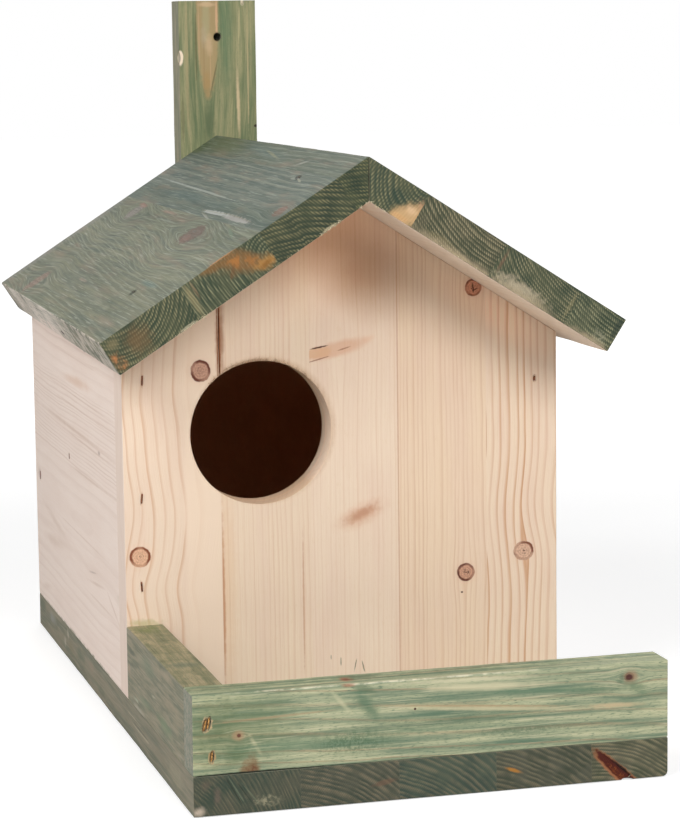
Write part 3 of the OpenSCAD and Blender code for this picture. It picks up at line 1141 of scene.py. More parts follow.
def shadedLeftSide(colour, place, streaks, plan):
    # the sides that look left get a greyer copy of the stain, which is painted shade, and their own marks
    # on top
    streak, thin, uptake = streaks
    grain = plan["grain"]
    normal = addNode("TexCoord").outputs["Normal"]
    leftward = fade(vec("DOT_PRODUCT", normal, (-1, 0, 0)), 0.6, 0.8, 0.0, grain.get("sideShare", 0.75))
    side = blend(fade(streak, 0.4, 0.6), grain["sideTint"], grain["sideDeep"])
    side = blend(fade(thin, 0.52, 0.7, 0.0, 0.5), side, grain["sidePale"])
    side = blend(fade(thin, 0.32, 0.48, 0.5, 0.0), side, grain["sideDark"])
    return blend(leftward, colour, paintSpots(side, place, plan.get("side", ())))


def greenSpruce(name, panel, plan):
    made, shader, place, (facing, sideways, inward) = startMaterial(name, panel)
    grain = plan["grain"]
    endFace = fade(facing, 0.55, 0.8)
    wood = woodGrain(place, grain, plan.get("knots", ()))
    flowing, late, fibre, rings = wood
    shade = {key: grain.get(key, value) for key, value in greenColours.items()}
    streaks = stainStreaks(place, flowing, grain)
    face = stainedFace(place, wood, streaks, shade, plan)
    end, hatch, along, across = stainedEnd(place, rings, shade, plan, shownEnds.get(panel))
    colour = blend(endFace, face, end)
    # the arrises are rubbed a little paler
    flat = calc("MAXIMUM", calc("ABSOLUTE", inward), calc("ABSOLUTE", sideways))
    flat = calc("MAXIMUM", flat, facing)
    colour = blend(fade(flat, 0.84, 0.95, grain.get("rubbed", 0.4), 0.0), colour, rgb(168, 160, 130))
    if "nest" in grain:
        colour = bareUnderside(colour, late, inward, along, across, grain["nest"])
    if "sideTint" in grain:
        colour = shadedLeftSide(colour, place, streaks, plan)
    height = add(mul(late, 0.6), fibre)
    height = add(height, mul(mul(hatch, endFace), 0.8))
    finishShader(shader, colour, fade(fibre, 0.2, 0.8, 0.55, 0.75), height, 0.2)
    return made


pinkKnot = {"core": rgb(108, 88, 78), "rim": rgb(84, 60, 50), "rimStrength": 0.4, "cracks": 0.8,
    "strength": 0.85, "wobble": 0.5}
roofFace = {"deep": rgb(66, 76, 66), "mid": rgb(93, 97, 82), "pale": rgb(116, 115, 96),
    "late": rgb(150, 152, 134), "contrast": 0.6, "hue": rgb(126, 112, 94), "level": 0.3, "pores": 0.25,
    "band": 2.6, "waver": 0.9, "drift": 2.5, "streak": 120, "chalk": 0.75,
    "chalkColour": rgb(160, 162, 150), "overlay": 0.55, "endContrast": 1.0}
mitreLine = spot((5.7, 9), (11, 0.6), (26, 34, 26), 0.9, turn=57.5, wobble=0.3, bothEnds=True)
eaveWash = spot((-49, 151.9), (endless, 1.0), (192, 182, 168), soft=0.3, turn=0.45, wobble=0.6, grain=9,
    mottle=9)
leftRoofStaves = [
    {"grain": {"pith": (40, 60), "ring": 2.1, "saw": 1.2, "endDeep": rgb(35, 49, 34), "sawLean": 0.3,
         "waver": 0.7, "deep": rgb(54, 68, 57), "mid": rgb(74, 85, 70), "pale": rgb(93, 99, 81),
         "chalkColour": rgb(126, 134, 118), "contrast": 0.4, "band": 3.4, "endMid": rgb(68, 74, 50),
         "endPale": rgb(124, 120, 84)},
     "marks": [
         spot((-60, 8), (75, 6), (84, 102, 96), 0.5, 0.9, turn=4),
         # olive, darker patches by the batten at the back: partly stain, partly painted shadow and
         # reflection of the batten
         spot((-160, 6), (70, 14), (84, 92, 62), 0.75, 0.8, turn=3),
         spot((-205, 14), (26, 12), (74, 84, 56), 0.8, 0.8),
         spot((-45, 9), (28, 1.2), (150, 146, 112), 0.5, 0.8, turn=7),
         spot((26, 12), (10, 1.6), (158, 156, 146), 0.6, 0.8, turn=-20)],
     "end": [mitreLine]},
    {"grain": {"pith": (82, 89), "ring": 2.45, "saw": 1.35, "sawLean": 0.35, "lean": (0.02, 0),
         "waver": 0.8, "deep": rgb(56, 72, 64), "mid": rgb(80, 90, 80), "pale": rgb(102, 108, 94),
         "chalkColour": rgb(138, 144, 132), "contrast": 0.45, "endDeep": rgb(43, 54, 38),
         "endMid": rgb(66, 72, 50), "endPale": rgb(128, 122, 88)},
     "knots": [dict(pinkKnot, at=(98, 47), size=(6.5, 4.2), core=rgb(122, 92, 76), push=0.8)],
     "marks": [
         spot((-90, 45), (130, 0.9), (158, 162, 152), 0.7, turn=1.2),
         spot((-70, 51.5), (120, 5.5), (82, 100, 96), 0.55, 0.8)],
     "over": [
         tone((-50, 54), (400, 9.5), (0.69, 0.75, 0.70), 0.6, wobble=0.1, grain=12),
         spot((46, 58.4), (42, 2.5), (156, 153, 146), 0.85, 0.6, turn=0.8, wobble=0.5, grain=4),
         spot((2, 58.0), (36, 1.7), (170, 172, 166), 0.85, 0.6, turn=-1.2, wobble=0.4, grain=4),
         spot((-8, 61.6), (16, 0.8), (158, 158, 148), 0.6, turn=7, wobble=0.5),
         spot((2, 60.0), (28, 0.9), (70, 78, 68), 0.6, turn=-1),
         spot((53, 22.5), (6.5, 2.5), (38, 40, 28), turn=8, wobble=0.5),
         spot((61, 24.5), (8, 0.8), (156, 154, 134), 0.6, turn=10, wobble=0.5),
         spot((48, 24.2), (6, 0.6), (156, 158, 146), 0.6)],
     "end": [spot((34, 17.6), (6, 1.4), (176, 164, 134), 0.7)]},
    {"grain": {"pith": (52, 12), "ring": 2.2, "saw": 1.3, "lean": (0.10, 0), "sawLean": 0.1,
         "endPale": rgb(138, 136, 104), "mid": rgb(106, 110, 88), "pale": rgb(126, 126, 101),
         "chalkColour": rgb(152, 154, 139)},
     "knots": [
         dict(pinkKnot, at=(15, 76), size=(13, 7.5), push=1.1),
         dict(pinkKnot, at=(-147, 72), size=(9, 6.5), core=rgb(150, 142, 136), push=1.1)],
     "marks": [
         spot((-206, 84), (13, 40), (134, 132, 126), 0.5, 0.8),
         spot((-148, 66), (17, 2.6), (150, 106, 92), 0.7, 0.8, turn=3, wobble=0.6),
         spot((14, 79), (12, 3.6), (146, 104, 92), 0.5, 0.8, wobble=0.7),
         spot((10, 62.5), (16, 1.6), (146, 150, 134), 0.6, turn=-8, wobble=0.6),
         spot((-80, 66), (26, 1.6), (154, 126, 112), 0.8, 0.8),
         spot((-35, 69), (18, 1.5), (148, 122, 108), 0.5, 0.8),
         spot((-60, 72), (26, 1.0), (156, 158, 146), 0.5, 0.8),
         spot((72, 68), (16, 1.2), (96, 116, 92), 0.6, turn=12),
         spot((45, 95), (50, 2.4), (128, 116, 98), 0.5, 0.8, turn=2),
         spot((111, 84), (2.6, 10), (170, 112, 58), 0.9)],
     "over": [tone((-50, 72), (400, 16), (0.80, 0.83, 0.80), 0.7)],
     "underEnd": [
         spot((105.5, 9), (2.0, 10), (158, 146, 108), 0.7),
         spot((102.6, 5), (1.0, 6), (138, 112, 84), 0.6)],
     "end": [
         spot((78, 6.5), (19, 8), (120, 90, 54), 0.75, 0.8, turn=-34, wobble=0.5, grain=4),
         spot((77.5, 5.5), (15, 5.4), (168, 110, 53), 0.9, 0.8, turn=-36, mottle=6, wobble=0.6,
             grain=3),
         spot((90, 1.5), (10, 3), (126, 90, 50), 0.7, 0.8, turn=-8, wobble=0.5),
         spot((67.5, 13.2), (8, 4.6), (168, 122, 64), 0.85, 0.9, turn=-10, wobble=0.7, grain=3),
         spot((68, 14), (4, 1.8), (132, 88, 34), 0.8, 0.8, turn=10, wobble=0.4),
         spot((83, 8), (5, 1.2), (112, 76, 44), 0.5, turn=45)]},
    {"grain": {"pith": (132, -15), "ring": 2.1, "saw": 1.2, "lean": (0.05, 0), "sawLean": -0.1,
         "mid": rgb(101, 105, 83), "pale": rgb(122, 121, 96), "chalkColour": rgb(151, 153, 138)},
     "knots": [dict(pinkKnot, at=(-141, 139), size=(8, 8.5), core=rgb(140, 120, 106), push=1.0)],
     "marks": [eaveWash,
         dict(eaveWash, at=(-96, 151.8), size=(104, 1.1), colour=rgb(214, 204, 192), mottle=40),
         dict(eaveWash, at=(-70, 151.8), size=(60, 1.2), below=15, deep=5, colour=rgb(226, 210, 198),
             mottle=30),
         spot((-206, 128), (13, 40), (134, 132, 126), 0.5, 0.8),
         spot((60, 112.5), (24, 3), (84, 106, 98), 0.7, 0.8),
         spot((-57, 126), (14, 1.2), (146, 126, 112), 0.5),
         spot((75, 141), (30, 3.5), (134, 124, 108), 0.5, 0.8, turn=2)],
     "over": [
         spot((-35, 152), (6.5, 3), (72, 52, 46), 0.9, below=12.5, deep=1.5),
         spot((53, 120.5), (4.6, 3.0), (50, 56, 38), 0.95, wobble=0.6)],
     "end": [
         spot((137, 9), (10, 10), (124, 92, 58), 0.5, 0.9, turn=25, wobble=0.5),
         spot((148, 4), (5, 4), (136, 122, 88), 0.5, 0.9),
         spot((150, 13), (4.8, 6.5), (184, 122, 74), 0.85, 0.8, mottle=5, wobble=0.5),
         spot((114, 17.4), (6, 1.2), (172, 164, 138), 0.7)]}]
rightRoofStaves = [
    {"grain": {"pith": (32, -5), "ring": 2.3, "saw": 1.4, "endDeep": rgb(48, 64, 50)},
     "end": [mitreLine,
         spot((30.5, 14.6), (15, 7.8), (168, 140, 98), 0.8, 0.6, turn=-40, wobble=0.3),
         spot((30, 14.4), (12.5, 5.8), (200, 162, 116), 0.85, 0.6, turn=-40, wobble=0.3),
         spot((31, 11), (4.5, 3.2), (220, 184, 146), 0.6, 0.9),
         spot((33.5, 6.5), (3.6, 4.4), (188, 146, 110), 0.6, 0.95, turn=-20, mottle=2),
         spot((28, 16.2), (7, 2), (206, 158, 106), 0.6, 0.9)]},
    {"grain": {"pith": (78, -60), "ring": 1.85, "saw": 1.15, "endDeep": rgb(66, 70, 50),
         "endMid": rgb(92, 88, 67), "endPale": rgb(160, 148, 116), "sawLean": -0.5},
     "underEnd": [spot((50, 15), (12, 2.5), (132, 120, 86), 0.6, 0.8)],
     "end": [spot((60, 18.2), (34, 4.4), (172, 154, 124), 0.85, 0.9, wobble=0.4, grain=4)]},
    {"grain": {"pith": (125, -45), "ring": 1.8, "saw": 1.15, "sawLean": -0.4,
         "endPale": rgb(150, 142, 110)},
     "underEnd": [spot((123, 9), (1.2, 9), (140, 132, 96), 0.6)],
     "end": [
         spot((82.5, 8), (1.2, 9), (118, 84, 66), 0.5, 0.8),
         spot((97, 15), (20, 5.5), (178, 164, 138), 0.85, 0.9, wobble=0.6, grain=2.5),
         spot((100, 17.6), (26, 4), (166, 150, 122), 0.8, 0.9, wobble=0.4, grain=4)]},
    {"grain": {"pith": (150, -60), "ring": 1.8, "saw": 1.15, "sawLean": -0.4, "endMid": rgb(88, 92, 69),
         "endPale": rgb(162, 158, 122)},
     "end": [
         spot((149.5, 6), (2.0, 8), (44, 56, 44), 0.8),
         spot((140, 17.8), (16, 3.6), (162, 146, 118), 0.8, 0.9, wobble=0.4, grain=4),
         spot((144, 14), (6, 4), (154, 150, 124), 0.6, 0.9, turn=12, wobble=0.5, grain=2, mottle=1.3)]}]
roofs = [("leftRoof", leftRoofStaves, 41, 74), ("rightRoof", rightRoofStaves, 51, -74)]
for panel, plans, seed, nest in roofs:
    for i, plan in enumerate(plans):
        grain = {**roofFace, "nest": nest, "seed": seed + i, **plan["grain"]}
        dress("%sStave%d" % (panel, i + 1),
            greenSpruce("%sGreen%d" % (panel, i + 1), panel, dict(plan, grain=grain)))


def edgeMark(along, below, length, deep, colour, strength=0.7, **more):
    # a mark on the base board's left edge
    return spot((along, leftX), (length, 60), colour, strength, 0.9, below=below, deep=deep, wobble=0.5,
        grain=6, **more)


baseStaves = [
    {"grain": {"pith": (-138, 39), "ring": 1.7, "saw": 1.3, "sawLean": -0.5, "sawMark": 0.1,
         "weave": 0.7, "endContrast": 0.45, "endDeep": rgb(57, 69, 57)},
     "end": [
         spot((-77, 13), (8, 3.4), (150, 144, 118), 0.9, 0.9, turn=4, wobble=0.6, grain=1.5,
             mottle=1.6),
         spot((-108, 15.8), (5, 3.2), (206, 188, 168), 0.8, 0.95, wobble=0.4, grain=3),
         spot((-92, 7.5), (9, 0.5), (34, 44, 34), 0.7, turn=60, wobble=0.5, grain=2),
         spot((-90.4, 8), (9, 0.45), (122, 132, 108), 0.4, turn=60, wobble=0.5, grain=2),
         spot((-87, 9), (9, 0.4), (34, 44, 34), 0.6, turn=56, wobble=0.5, grain=2),
         spot((-84, 10), (8, 0.45), (118, 128, 104), 0.35, turn=52, wobble=0.5, grain=2),
         spot((-99.5, 9), (2.4, 6.5), (112, 96, 84), 0.6, 0.95, wobble=0.6, grain=3),
         spot((-104.5, 4), (3.2, 3), (100, 88, 74), 0.6, 0.95, wobble=0.6, grain=3)],
     "side": [
         edgeMark(72, 7, 17, 5, (82, 94, 76)),
         edgeMark(40, 6, 12, 5, (140, 124, 106)),
         edgeMark(12, 13, 18, 4, (92, 94, 76)),
         edgeMark(112, 4, 5, 4, (176, 168, 152)),
         edgeMark(122, 10, 5, 4, (170, 162, 146)),
         edgeMark(100, 10, 14, 6, (120, 112, 88)),
         edgeMark(163, 6, 16, 4, (140, 140, 134)),
         edgeMark(198, 4, 15, 5, (80, 88, 70)),
         edgeMark(-95, 9.5, 38, 0.7, (176, 166, 142)),
         edgeMark(-72, 6, 30, 0.6, (168, 160, 138)),
         edgeMark(-120, 12.5, 40, 0.5, (86, 88, 72)),
         edgeMark(-30, 17.6, 170, 1.8, (62, 62, 50), strength=0.9, mottle=16),
         edgeMark(-90, 8.3, 26, 0.8, (74, 76, 64)),
         edgeMark(-170, 9, 30, 7, (146, 138, 116))]},
    {"grain": {"pith": (-76, 78), "ring": 2.4, "endPale": rgb(130, 118, 95), "endContrast": 0.8},
     "end": [spot((-24, 9.5), (7, 1.6), (112, 84, 66), 0.6, turn=-10)]},
    {"grain": {"pith": (-40, 80), "ring": 2.4, "endDeep": rgb(56, 70, 60), "endMid": rgb(70, 82, 68)}},
    {"grain": {"pith": (12, 80), "ring": 2.4, "endDeep": rgb(60, 66, 52)},
     "end": [spot((36.5, 9.2), (6, 1.2), (180, 120, 46), 0.9, 0.8, turn=20, wobble=0.35)]},
    {"grain": {"pith": (71, 70), "ring": 2.1, "endDeep": rgb(68, 74, 56), "endMid": rgb(86, 86, 68),
         "endPale": rgb(140, 130, 102), "endContrast": 0.95},
     "end": [
         spot((88, 16), (22.4, 3.9), (166, 104, 66), 0.9, 0.3, turn=43, wobble=0.15, grain=2),
         spot((88.4, 16), (21.2, 3.0), (74, 20, 4), soft=0.3, turn=43, wobble=0.2, grain=2),
         spot((78.5, 6.4), (6, 1.2), (74, 22, 6), turn=45, wobble=0.3, grain=2),
         spot((87.5, 12.2), (9, 1.1), (30, 10, 3), 0.9, 0.7, turn=42, wobble=0.4, grain=2),
         spot((86, 15), (9, 1.6), (134, 66, 20), 0.7, turn=45, wobble=0.9, grain=1.2, mottle=1.0)]}]
baseGrain = {"endDeep": rgb(60, 68, 56), "endMid": rgb(78, 80, 66), "endPale": rgb(128, 118, 94),
    "rubbed": 0.1, "deep": rgb(100, 108, 92), "mid": rgb(122, 124, 106), "pale": rgb(150, 146, 126),
    "endContrast": 0.75, "saw": 1.1, "sawMark": 0.12, "sawLean": 0.8, "waver": 1.0, "weave": 0.85,
    "sideTint": rgb(128, 120, 102), "sideDeep": rgb(106, 106, 90), "sidePale": rgb(148, 140, 122),
    "sideDark": rgb(94, 94, 76), "sideShare": 0.85}
for i, plan in enumerate(baseStaves):
    grain = {**baseGrain, "seed": 61 + i, **plan["grain"]}
    dress("baseStave%d" % (i + 1), greenSpruce("baseGreen%d" % (i + 1), "base", dict(plan, grain=grain)))
railSide = {"sideTint": rgb(134, 128, 110), "sideDeep": rgb(108, 110, 94),
    "sidePale": rgb(154, 148, 132), "sideDark": rgb(92, 96, 82)}
frontRailPlan = {
    "grain": dict(railSide, pith=(90, 44), ring=5.2, seed=71, lean=(0.05, 0), deep=rgb(92, 118, 96),
        mid=rgb(146, 154, 124), pale=rgb(206, 203, 164), late=rgb(162, 130, 100), level=0.1, band=3.6,
        streak=95, pores=0.8, contrast=0.6, lateFrom=0.72, chalk=0.55, chalkColour=rgb(214, 206, 172),
        overlay=0.6, sideTint=rgb(150, 146, 130), sideDeep=rgb(124, 130, 116), sideShare=0.9,
        waver=1.4),
    "knots": [
        {"at": (91.2, 6.6), "size": (2.3, 2.1), "core": rgb(70, 36, 32), "rim": rgb(60, 30, 26),
            "push": 1.8},
        {"at": (-89.4, 19), "size": (1.4, 1.2), "core": rgb(92, 56, 40), "rim": rgb(80, 48, 36),
            "push": 1.8}],
    "marks": [
        spot((-88, 16), (36, 26), (108, 122, 86), 0.6, 0.9),
        spot((80, 11), (26, 3), (92, 116, 90), 0.6, 0.9),
        spot((91.8, 6.6), (4.6, 4.2), (158, 132, 104), 0.8, 0.6),
        spot((87, 7.5), (2.4, 4), (92, 112, 88), 0.7, 0.8, turn=20),
        spot((95, 12), (10, 4), (96, 122, 92), 0.6, 0.9, turn=25),
        spot((-89.6, 19), (3.8, 3.0), (176, 146, 112), 0.8, 0.6),
        spot((-90, 27), (8, 7), (98, 116, 82), 0.7, 0.8, turn=-20),
        spot((-82, 24), (1.5, 7.5), (200, 192, 154), 0.6, 0.9, turn=-30),
        spot((-32, 3), (8, 3), (92, 112, 86), 0.7, 0.9, turn=25),
        spot((-31.5, 10), (14, 4.6), (88, 116, 90), 0.8, 0.9, turn=52),
        spot((50, 9.6), (46, 1.5), (96, 124, 98), 0.7, 0.8, turn=3),
        spot((-60, 25), (60, 3.5), (104, 130, 102), 0.6, 0.9),
        spot((0, 23), (70, 2.4), (100, 126, 100), 0.6, 0.9, turn=1)],
    "over": [
        tone((-104, 18), (24, 26), (0.8, 0.82, 0.76), 0.9),
        tone((5, 20), (90, 4.5), (0.84, 0.86, 0.84), 0.9),
        spot((-38, 26), (28, 8), (84, 108, 80), 0.75, 0.9, mottle=1.5),
        spot((40, 27), (40, 3), (86, 110, 82), 0.5, 0.9, mottle=1.5),
        tone((0, -0.4), (300, 1.0), (0.7, 0.78, 0.74), below=12, deep=8.5, mottle=7),
        spot((-20, -0.3), (100, 1.3), (228, 222, 194), 0.9, 0.6, below=0.4, deep=1.8, mottle=8),
        spot((91.2, 6.6), (2.2, 2.0), (72, 38, 34), 0.95, wobble=0.3),
        spot((-89.4, 19), (1.3, 1.1), (98, 56, 42), 0.95),
        spot((-84.3, 36), (5.6, 9.6), (126, 96, 64), 0.85, 0.6, wobble=0.4),
        spot((-83.6, 34.8), (3.4, 3.0), (104, 60, 40), 0.7, wobble=0.5, grain=2, mottle=1.5),
        spot((-31, -0.4), (13, 2.0), (84, 100, 76), 0.8, 0.9, below=12, deep=6),
        spot((-38.5, -0.4), (4.4, 2.0), (146, 88, 64), 0.85, 0.8, below=9.5, deep=6),
        spot((-38.2, -0.4), (2.2, 2.0), (104, 52, 38), 0.8, 0.8, below=9, deep=2.6, wobble=0.6),
        spot((-40, 0.4), (4.4, 1.4), (158, 96, 70), 0.7, 0.8, deep=3),
        spot((-43, 8), (11, 1.8), (206, 202, 164), 0.55, 1.0, turn=50),
        spot((22, 5.6), (44, 2.6), (212, 204, 168), 0.8, 0.8, turn=2, wobble=0.4, grain=12),
        spot((16, 2.2), (50, 1.2), (214, 206, 172), 0.7, 0.8, turn=1),
        spot((18, 14.2), (64, 0.9), (178, 148, 112), 0.7, 0.8, turn=4.5),
        spot((26, 16.0), (64, 1.4), (208, 196, 158), 0.7, 0.8, turn=4.5),
        spot((-75, 12.0), (36, 0.7), (170, 146, 112), 0.6, turn=-2),
        spot((84, 19.0), (18, 1.6), (204, 180, 142), 0.75, 0.8, turn=2),
        spot((-103.5, 13), (2.9, 4.4), (196, 170, 130), 0.9, 0.4, turn=10, wobble=0.5, grain=1.5),
        spot((-103.6, 13), (1.5, 3.6), (96, 66, 42), 0.7, turn=12, wobble=0.5, grain=1.5),
        spot((-101.5, 27.5), (2.0, 3.6), (184, 152, 108), 0.9, 0.4, turn=6, wobble=0.5, grain=1.5),
        spot((-9.6, 13.4), (0.7, 0.7), darkBrown),
        # painted shadow: a dark line along the rail's lower edge where it overhangs the base
        spot((-80, 35.8), (44, 0.8), (40, 46, 34))]}


def railMark(at, size, colour, turn=0, strength=0.7):
    # a mark on the outer side of the left rail
    return spot(at, size, colour, strength, 0.95, turn=turn, wobble=0.4, grain=5)


leftRailPlan = {
    "grain": dict(railSide, pith=(60, 50), ring=3.4, seed=72, deep=rgb(100, 106, 80),
        mid=rgb(146, 139, 108), pale=rgb(192, 171, 138), band=3.2, streak=30, pores=0.6, overlay=0.35,
        chalk=0.4, sideShare=0.85),
    "over": [
        tone((-126, 54.4), (300, 1.0), (0.74, 0.8, 0.76), mottle=8),
        spot((-70, 54.4), (14, 2), (112, 122, 74), 0.7, 0.9, below=9, deep=12, mottle=4),
        spot((-150, 54.4), (9, 2), (92, 106, 88), 0.6, 0.9, below=9, deep=12)],
    "side": [
        railMark((-150, 26), (24, 5.5), (114, 128, 102), 4, strength=0.85),
        railMark((-104, 26), (22, 4), (108, 122, 100), -3),
        railMark((-112, 45), (26, 6), (112, 122, 104)),
        railMark((-74, 44), (15, 2.0), (84, 90, 80), -6),
        railMark((-76, 38), (18, 1.4), (90, 96, 84), -6),
        railMark((-66, 34), (5, 4), (160, 140, 124)),
        railMark((-88, 19.5), (22, 2.0), (164, 158, 144), strength=0.8),
        railMark((-82, 22.8), (9, 1.0), (168, 176, 156), strength=0.8),
        railMark((-125, 34), (8, 1.0), (168, 162, 142), -4, strength=0.8),
        railMark((-150, 50), (26, 3.5), (160, 146, 126), -4),
        railMark((-160, 38), (22, 4), (146, 134, 114), -6),
        railMark((-176, 34), (12, 9), (140, 132, 112))]}
battenPlan = {
    "grain": dict(railSide, pith=(-30, 60), ring=3.6, seed=73, lean=(0.02, 0), deep=rgb(88, 106, 74),
        mid=rgb(126, 132, 96), pale=rgb(164, 156, 116), band=3, streak=50, level=0.15, overlay=0.35,
        chalk=0.35, pores=0.4, sideTint=rgb(156, 146, 127), sideDeep=rgb(126, 124, 107)),
    "knots": [{"at": (330, -4.5), "size": (20, 6.5), "push": 0.4, "hidden": True}],
    "marks": [
        spot((345, 6.5), (52, 5), (92, 116, 84), 0.7, 0.8),
        spot((286, -4), (16, 5), (84, 98, 68), 0.8, 0.8),
        spot((320, -12.4), (60, 1.3), (92, 106, 72), 0.7, 0.8),
        spot((320, -16.5), (60, 1.4), (176, 158, 118), 0.5, 0.8)],
    "over": [
        spot((349, -4.2), (53, 7.2), (166, 142, 101), 0.9, 0.25, wobble=0.12),
        spot((347, -5), (22, 3.2), (164, 154, 116), 0.8, 0.7),
        spot((331, -3.5), (9, 3.4), (196, 168, 132), 0.7, 0.8),
        spot((345, 1.2), (14, 0.9), (204, 164, 128), 0.8),
        spot((298, 13.2), (26, 1.5), (206, 184, 146), 0.9, 0.8, turn=-1),
        spot((342, 14.4), (14, 0.8), (174, 164, 124), 0.7, turn=2),
        spot((316, 19.2), (44, 0.8), (180, 164, 124), 0.7),
        spot((323.6, -20.4), (5, 2.0), (240, 220, 194), soft=0.3, deep=6),
        spot((355, 16.5), (2.6, 1.4), (222, 208, 180), 0.9),
        spot((284.2, 23.4), (1.0, 1.3), (44, 34, 22), soft=0.4, deep=3),
        spot((322, -6.5), (22, 0.6), (150, 126, 88), 0.6),
        spot((316, -2.8), (15, 0.5), (188, 158, 118), 0.6),
        spot((336, -9.3), (22, 0.6), (186, 156, 120), 0.6),
        spot((328, -11.2), (26, 0.5), (104, 100, 66), 0.6),
        spot((312, -0.9), (14, 0.6), (96, 92, 60), 0.6, turn=13),
        spot((330, -10.9), (22, 0.7), (92, 92, 58), 0.6),
        spot((309, -5), (12, 3.2), (162, 130, 82), 0.65, 0.9),
        spot((336, -6.5), (9, 2.6), (176, 160, 132), 0.6, 0.9),
        spot((353.5, -4.5), (1.6, 6), (196, 164, 128), 0.6),
        spot((354, -4.5), (1.6, 6), (196, 168, 132), 0.6),
        spot((290, -19.5), (16, 1.4), (100, 102, 70), 0.6),
        spot((335.4, 1.5), (3.1, 3.1), (44, 42, 28), 0.85, wobble=0.4)]}
dress("frontRail", greenSpruce("frontRailGreen", "frontRail", frontRailPlan))
dress("leftRail", greenSpruce("leftRailGreen", "leftRail", leftRailPlan))
dress("hangingBatten", greenSpruce("hangingBattenGreen", "batten", battenPlan))
print("green stain made")


def wireMaterial(name, dark, bright, metal):
    made, shader = newMaterial(name)
    place = vec("MULTIPLY", addNode("TexCoord").outputs["Object"], (1000, 1000, 1000))
    rust = cloud(addScaled(place, 0.9), 3.0, 0.6)
    colour = blend(fade(rust, 0.35, 0.65), dark, bright)
    shader.inputs["Metallic"].default_value = metal
    feed(shader.inputs["Base Color"], colour)
    feed(shader.inputs["Roughness"], fade(rust, 0.3, 0.7, 0.75, 0.5))
    bump = addNode("Bump")
    bump.inputs["Strength"].default_value = 0.4
    bump.inputs["Distance"].default_value = 0.05 * mm
    feed(bump.inputs["Height"], rust)
    feed(shader.inputs["Normal"], bump.outputs[0])
    return made


rustyWire = wireMaterial("rustyWire", rgb(84, 46, 26), rgb(146, 88, 52), 0.1)
copperWire = wireMaterial("copperWire", rgb(120, 76, 40), rgb(206, 160, 96), 0.7)
paleFibre = wireMaterial("paleFibre", rgb(186, 174, 140), rgb(226, 212, 180), 0.0)
darkFibre = wireMaterial("darkFibre", rgb(40, 32, 20), rgb(66, 56, 38), 0.0)
greyFibre = wireMaterial("greyFibre", rgb(176, 146, 118), rgb(214, 188, 160), 0.0)
extraMaterials = {"holeFibres": greyFibre, "screwHoleFibres": darkFibre, "vergeFibres": paleFibre,
    "rightVergeFibres": paleFibre, "staple7": darkFibre, "staple8": darkFibre, "staple9": copperWire,
    "staple10": copperWire, "staple11": copperWire}
for name, piece in extras.items():
    dressed(piece, extraMaterials.get(name, rustyWire))
print("wire and fibres made")


def makeFloor():
    deselect()
    bpy.ops.mesh.primitive_plane_add(size=16, location=(0, 0, -0.0004))
    floor = bpy.context.object
    floor.name = "floor"
    made, shader = newMaterial("whiteFloor")
    shader.inputs["Base Color"].default_value = (0.6, 0.6, 0.6, 1)
    shader.inputs["Roughness"].default_value = 0.9
    shader.inputs["Specular IOR Level"].default_value = 0.0
    shader.inputs["Emission Color"].default_value = (1, 1, 1, 1)
    seen = addNode("LightPath")
    spread = addNode("TexCoord").outputs["Object"]
    glow = fade(vec("LENGTH", spread), 0.5, 1.6, 0.62, 1.0)
    feed(shader.inputs["Emission Strength"], mul(seen.outputs["Is Camera Ray"], glow))
    floor.data.materials.append(made)


studio = {"right": {"from": (42, 32), "size": 0.8, "power": 4.0},
    "front": {"from": (10, 30), "size": 0.8, "power": 20.0},
    "left": {"from": (-50, 36), "size": 0.9, "power": 18.5},
    "lowLeft": {"from": (-80, 14), "size": 0.5, "power": 14.0},
    "behind": {"from": (165, 40), "size": 1.0, "power": 9.0}}


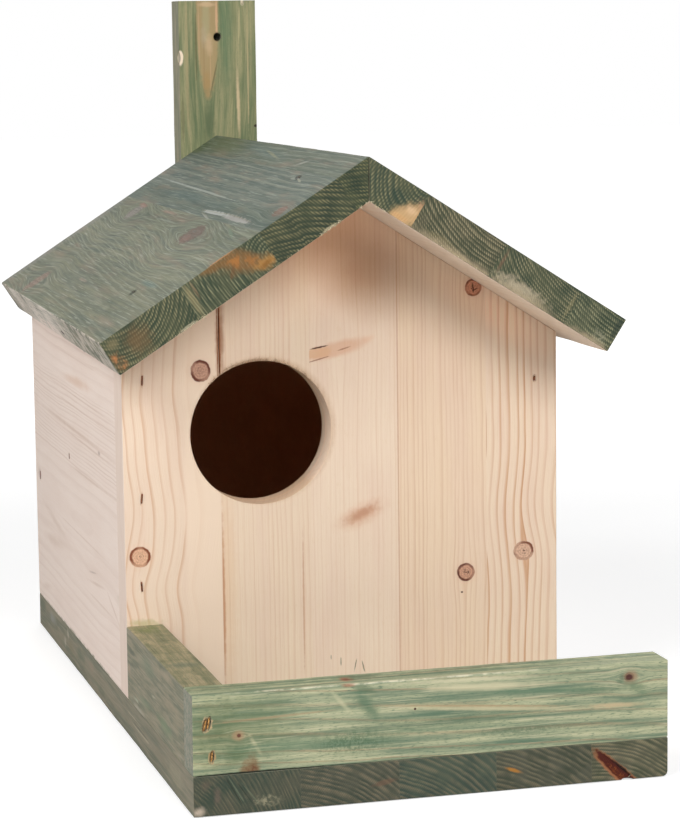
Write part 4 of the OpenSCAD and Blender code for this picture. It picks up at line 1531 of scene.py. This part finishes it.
def makeLights():
    target = Vector((0, 0, 0.14))
    for name, lamp in studio.items():
        azimuth, height = (math.radians(v) for v in lamp["from"])
        away = Vector((math.sin(azimuth) * math.cos(height), -math.cos(azimuth) * math.cos(height),
                math.sin(height)))
        data = bpy.data.lights.new(name, "AREA")
        data.shape = "SQUARE"
        data.size = lamp["size"]
        data.energy = lamp["power"]
        made = bpy.data.objects.new(name, data)
        bpy.context.scene.collection.objects.link(made)
        made.location = target + away * 2
        made.rotation_euler = (-away).to_track_quat("-Z", "Y").to_euler()
    world = bpy.data.worlds.new("studio")
    world.use_nodes = True
    workOn(world.node_tree)
    seen = addNode("LightPath")
    direct = calc("MAXIMUM",
        calc("MAXIMUM", seen.outputs["Is Camera Ray"], seen.outputs["Is Glossy Ray"]),
        seen.outputs["Is Transmission Ray"])
    level = addNode("MapRange")
    feed(level.inputs["Value"], direct)
    level.inputs["To Min"].default_value = 0.06
    level.inputs["To Max"].default_value = 1.0
    feed(tree.nodes["Background"].inputs["Strength"], level.outputs[0])
    tree.nodes["Background"].inputs["Color"].default_value = (1, 1, 1, 1)
    bpy.context.scene.world = world


cameraAt = {"azimuth": 15.217, "down": 7.776, "roll": -0.744, "lens": 119.64,
    "place": (-347.388, -1331.324, 333.924)}


def makeCamera():
    azimuth, down, roll = (math.radians(cameraAt[k]) for k in ("azimuth", "down", "roll"))
    forward = Vector((math.sin(azimuth) * math.cos(down), math.cos(azimuth) * math.cos(down),
            -math.sin(down)))
    right = Vector((math.cos(azimuth), -math.sin(azimuth), 0))
    up = right.cross(forward)
    across = math.cos(roll) * right + math.sin(roll) * up
    upwards = math.cos(roll) * up - math.sin(roll) * right
    turn = Matrix((across, upwards, -forward)).transposed().to_4x4()
    data = bpy.data.cameras.new("camera")
    data.lens = cameraAt["lens"]
    data.sensor_width = 36
    data.sensor_fit = "AUTO"
    camera = bpy.data.objects.new("camera", data)
    bpy.context.scene.collection.objects.link(camera)
    camera.matrix_world = Matrix.Translation(Vector(cameraAt["place"]) * mm) @ turn
    bpy.context.scene.camera = camera


makeFloor()
makeLights()
makeCamera()
bpy.context.scene.view_settings.view_transform = "Standard"
print("floor, lights and camera placed")
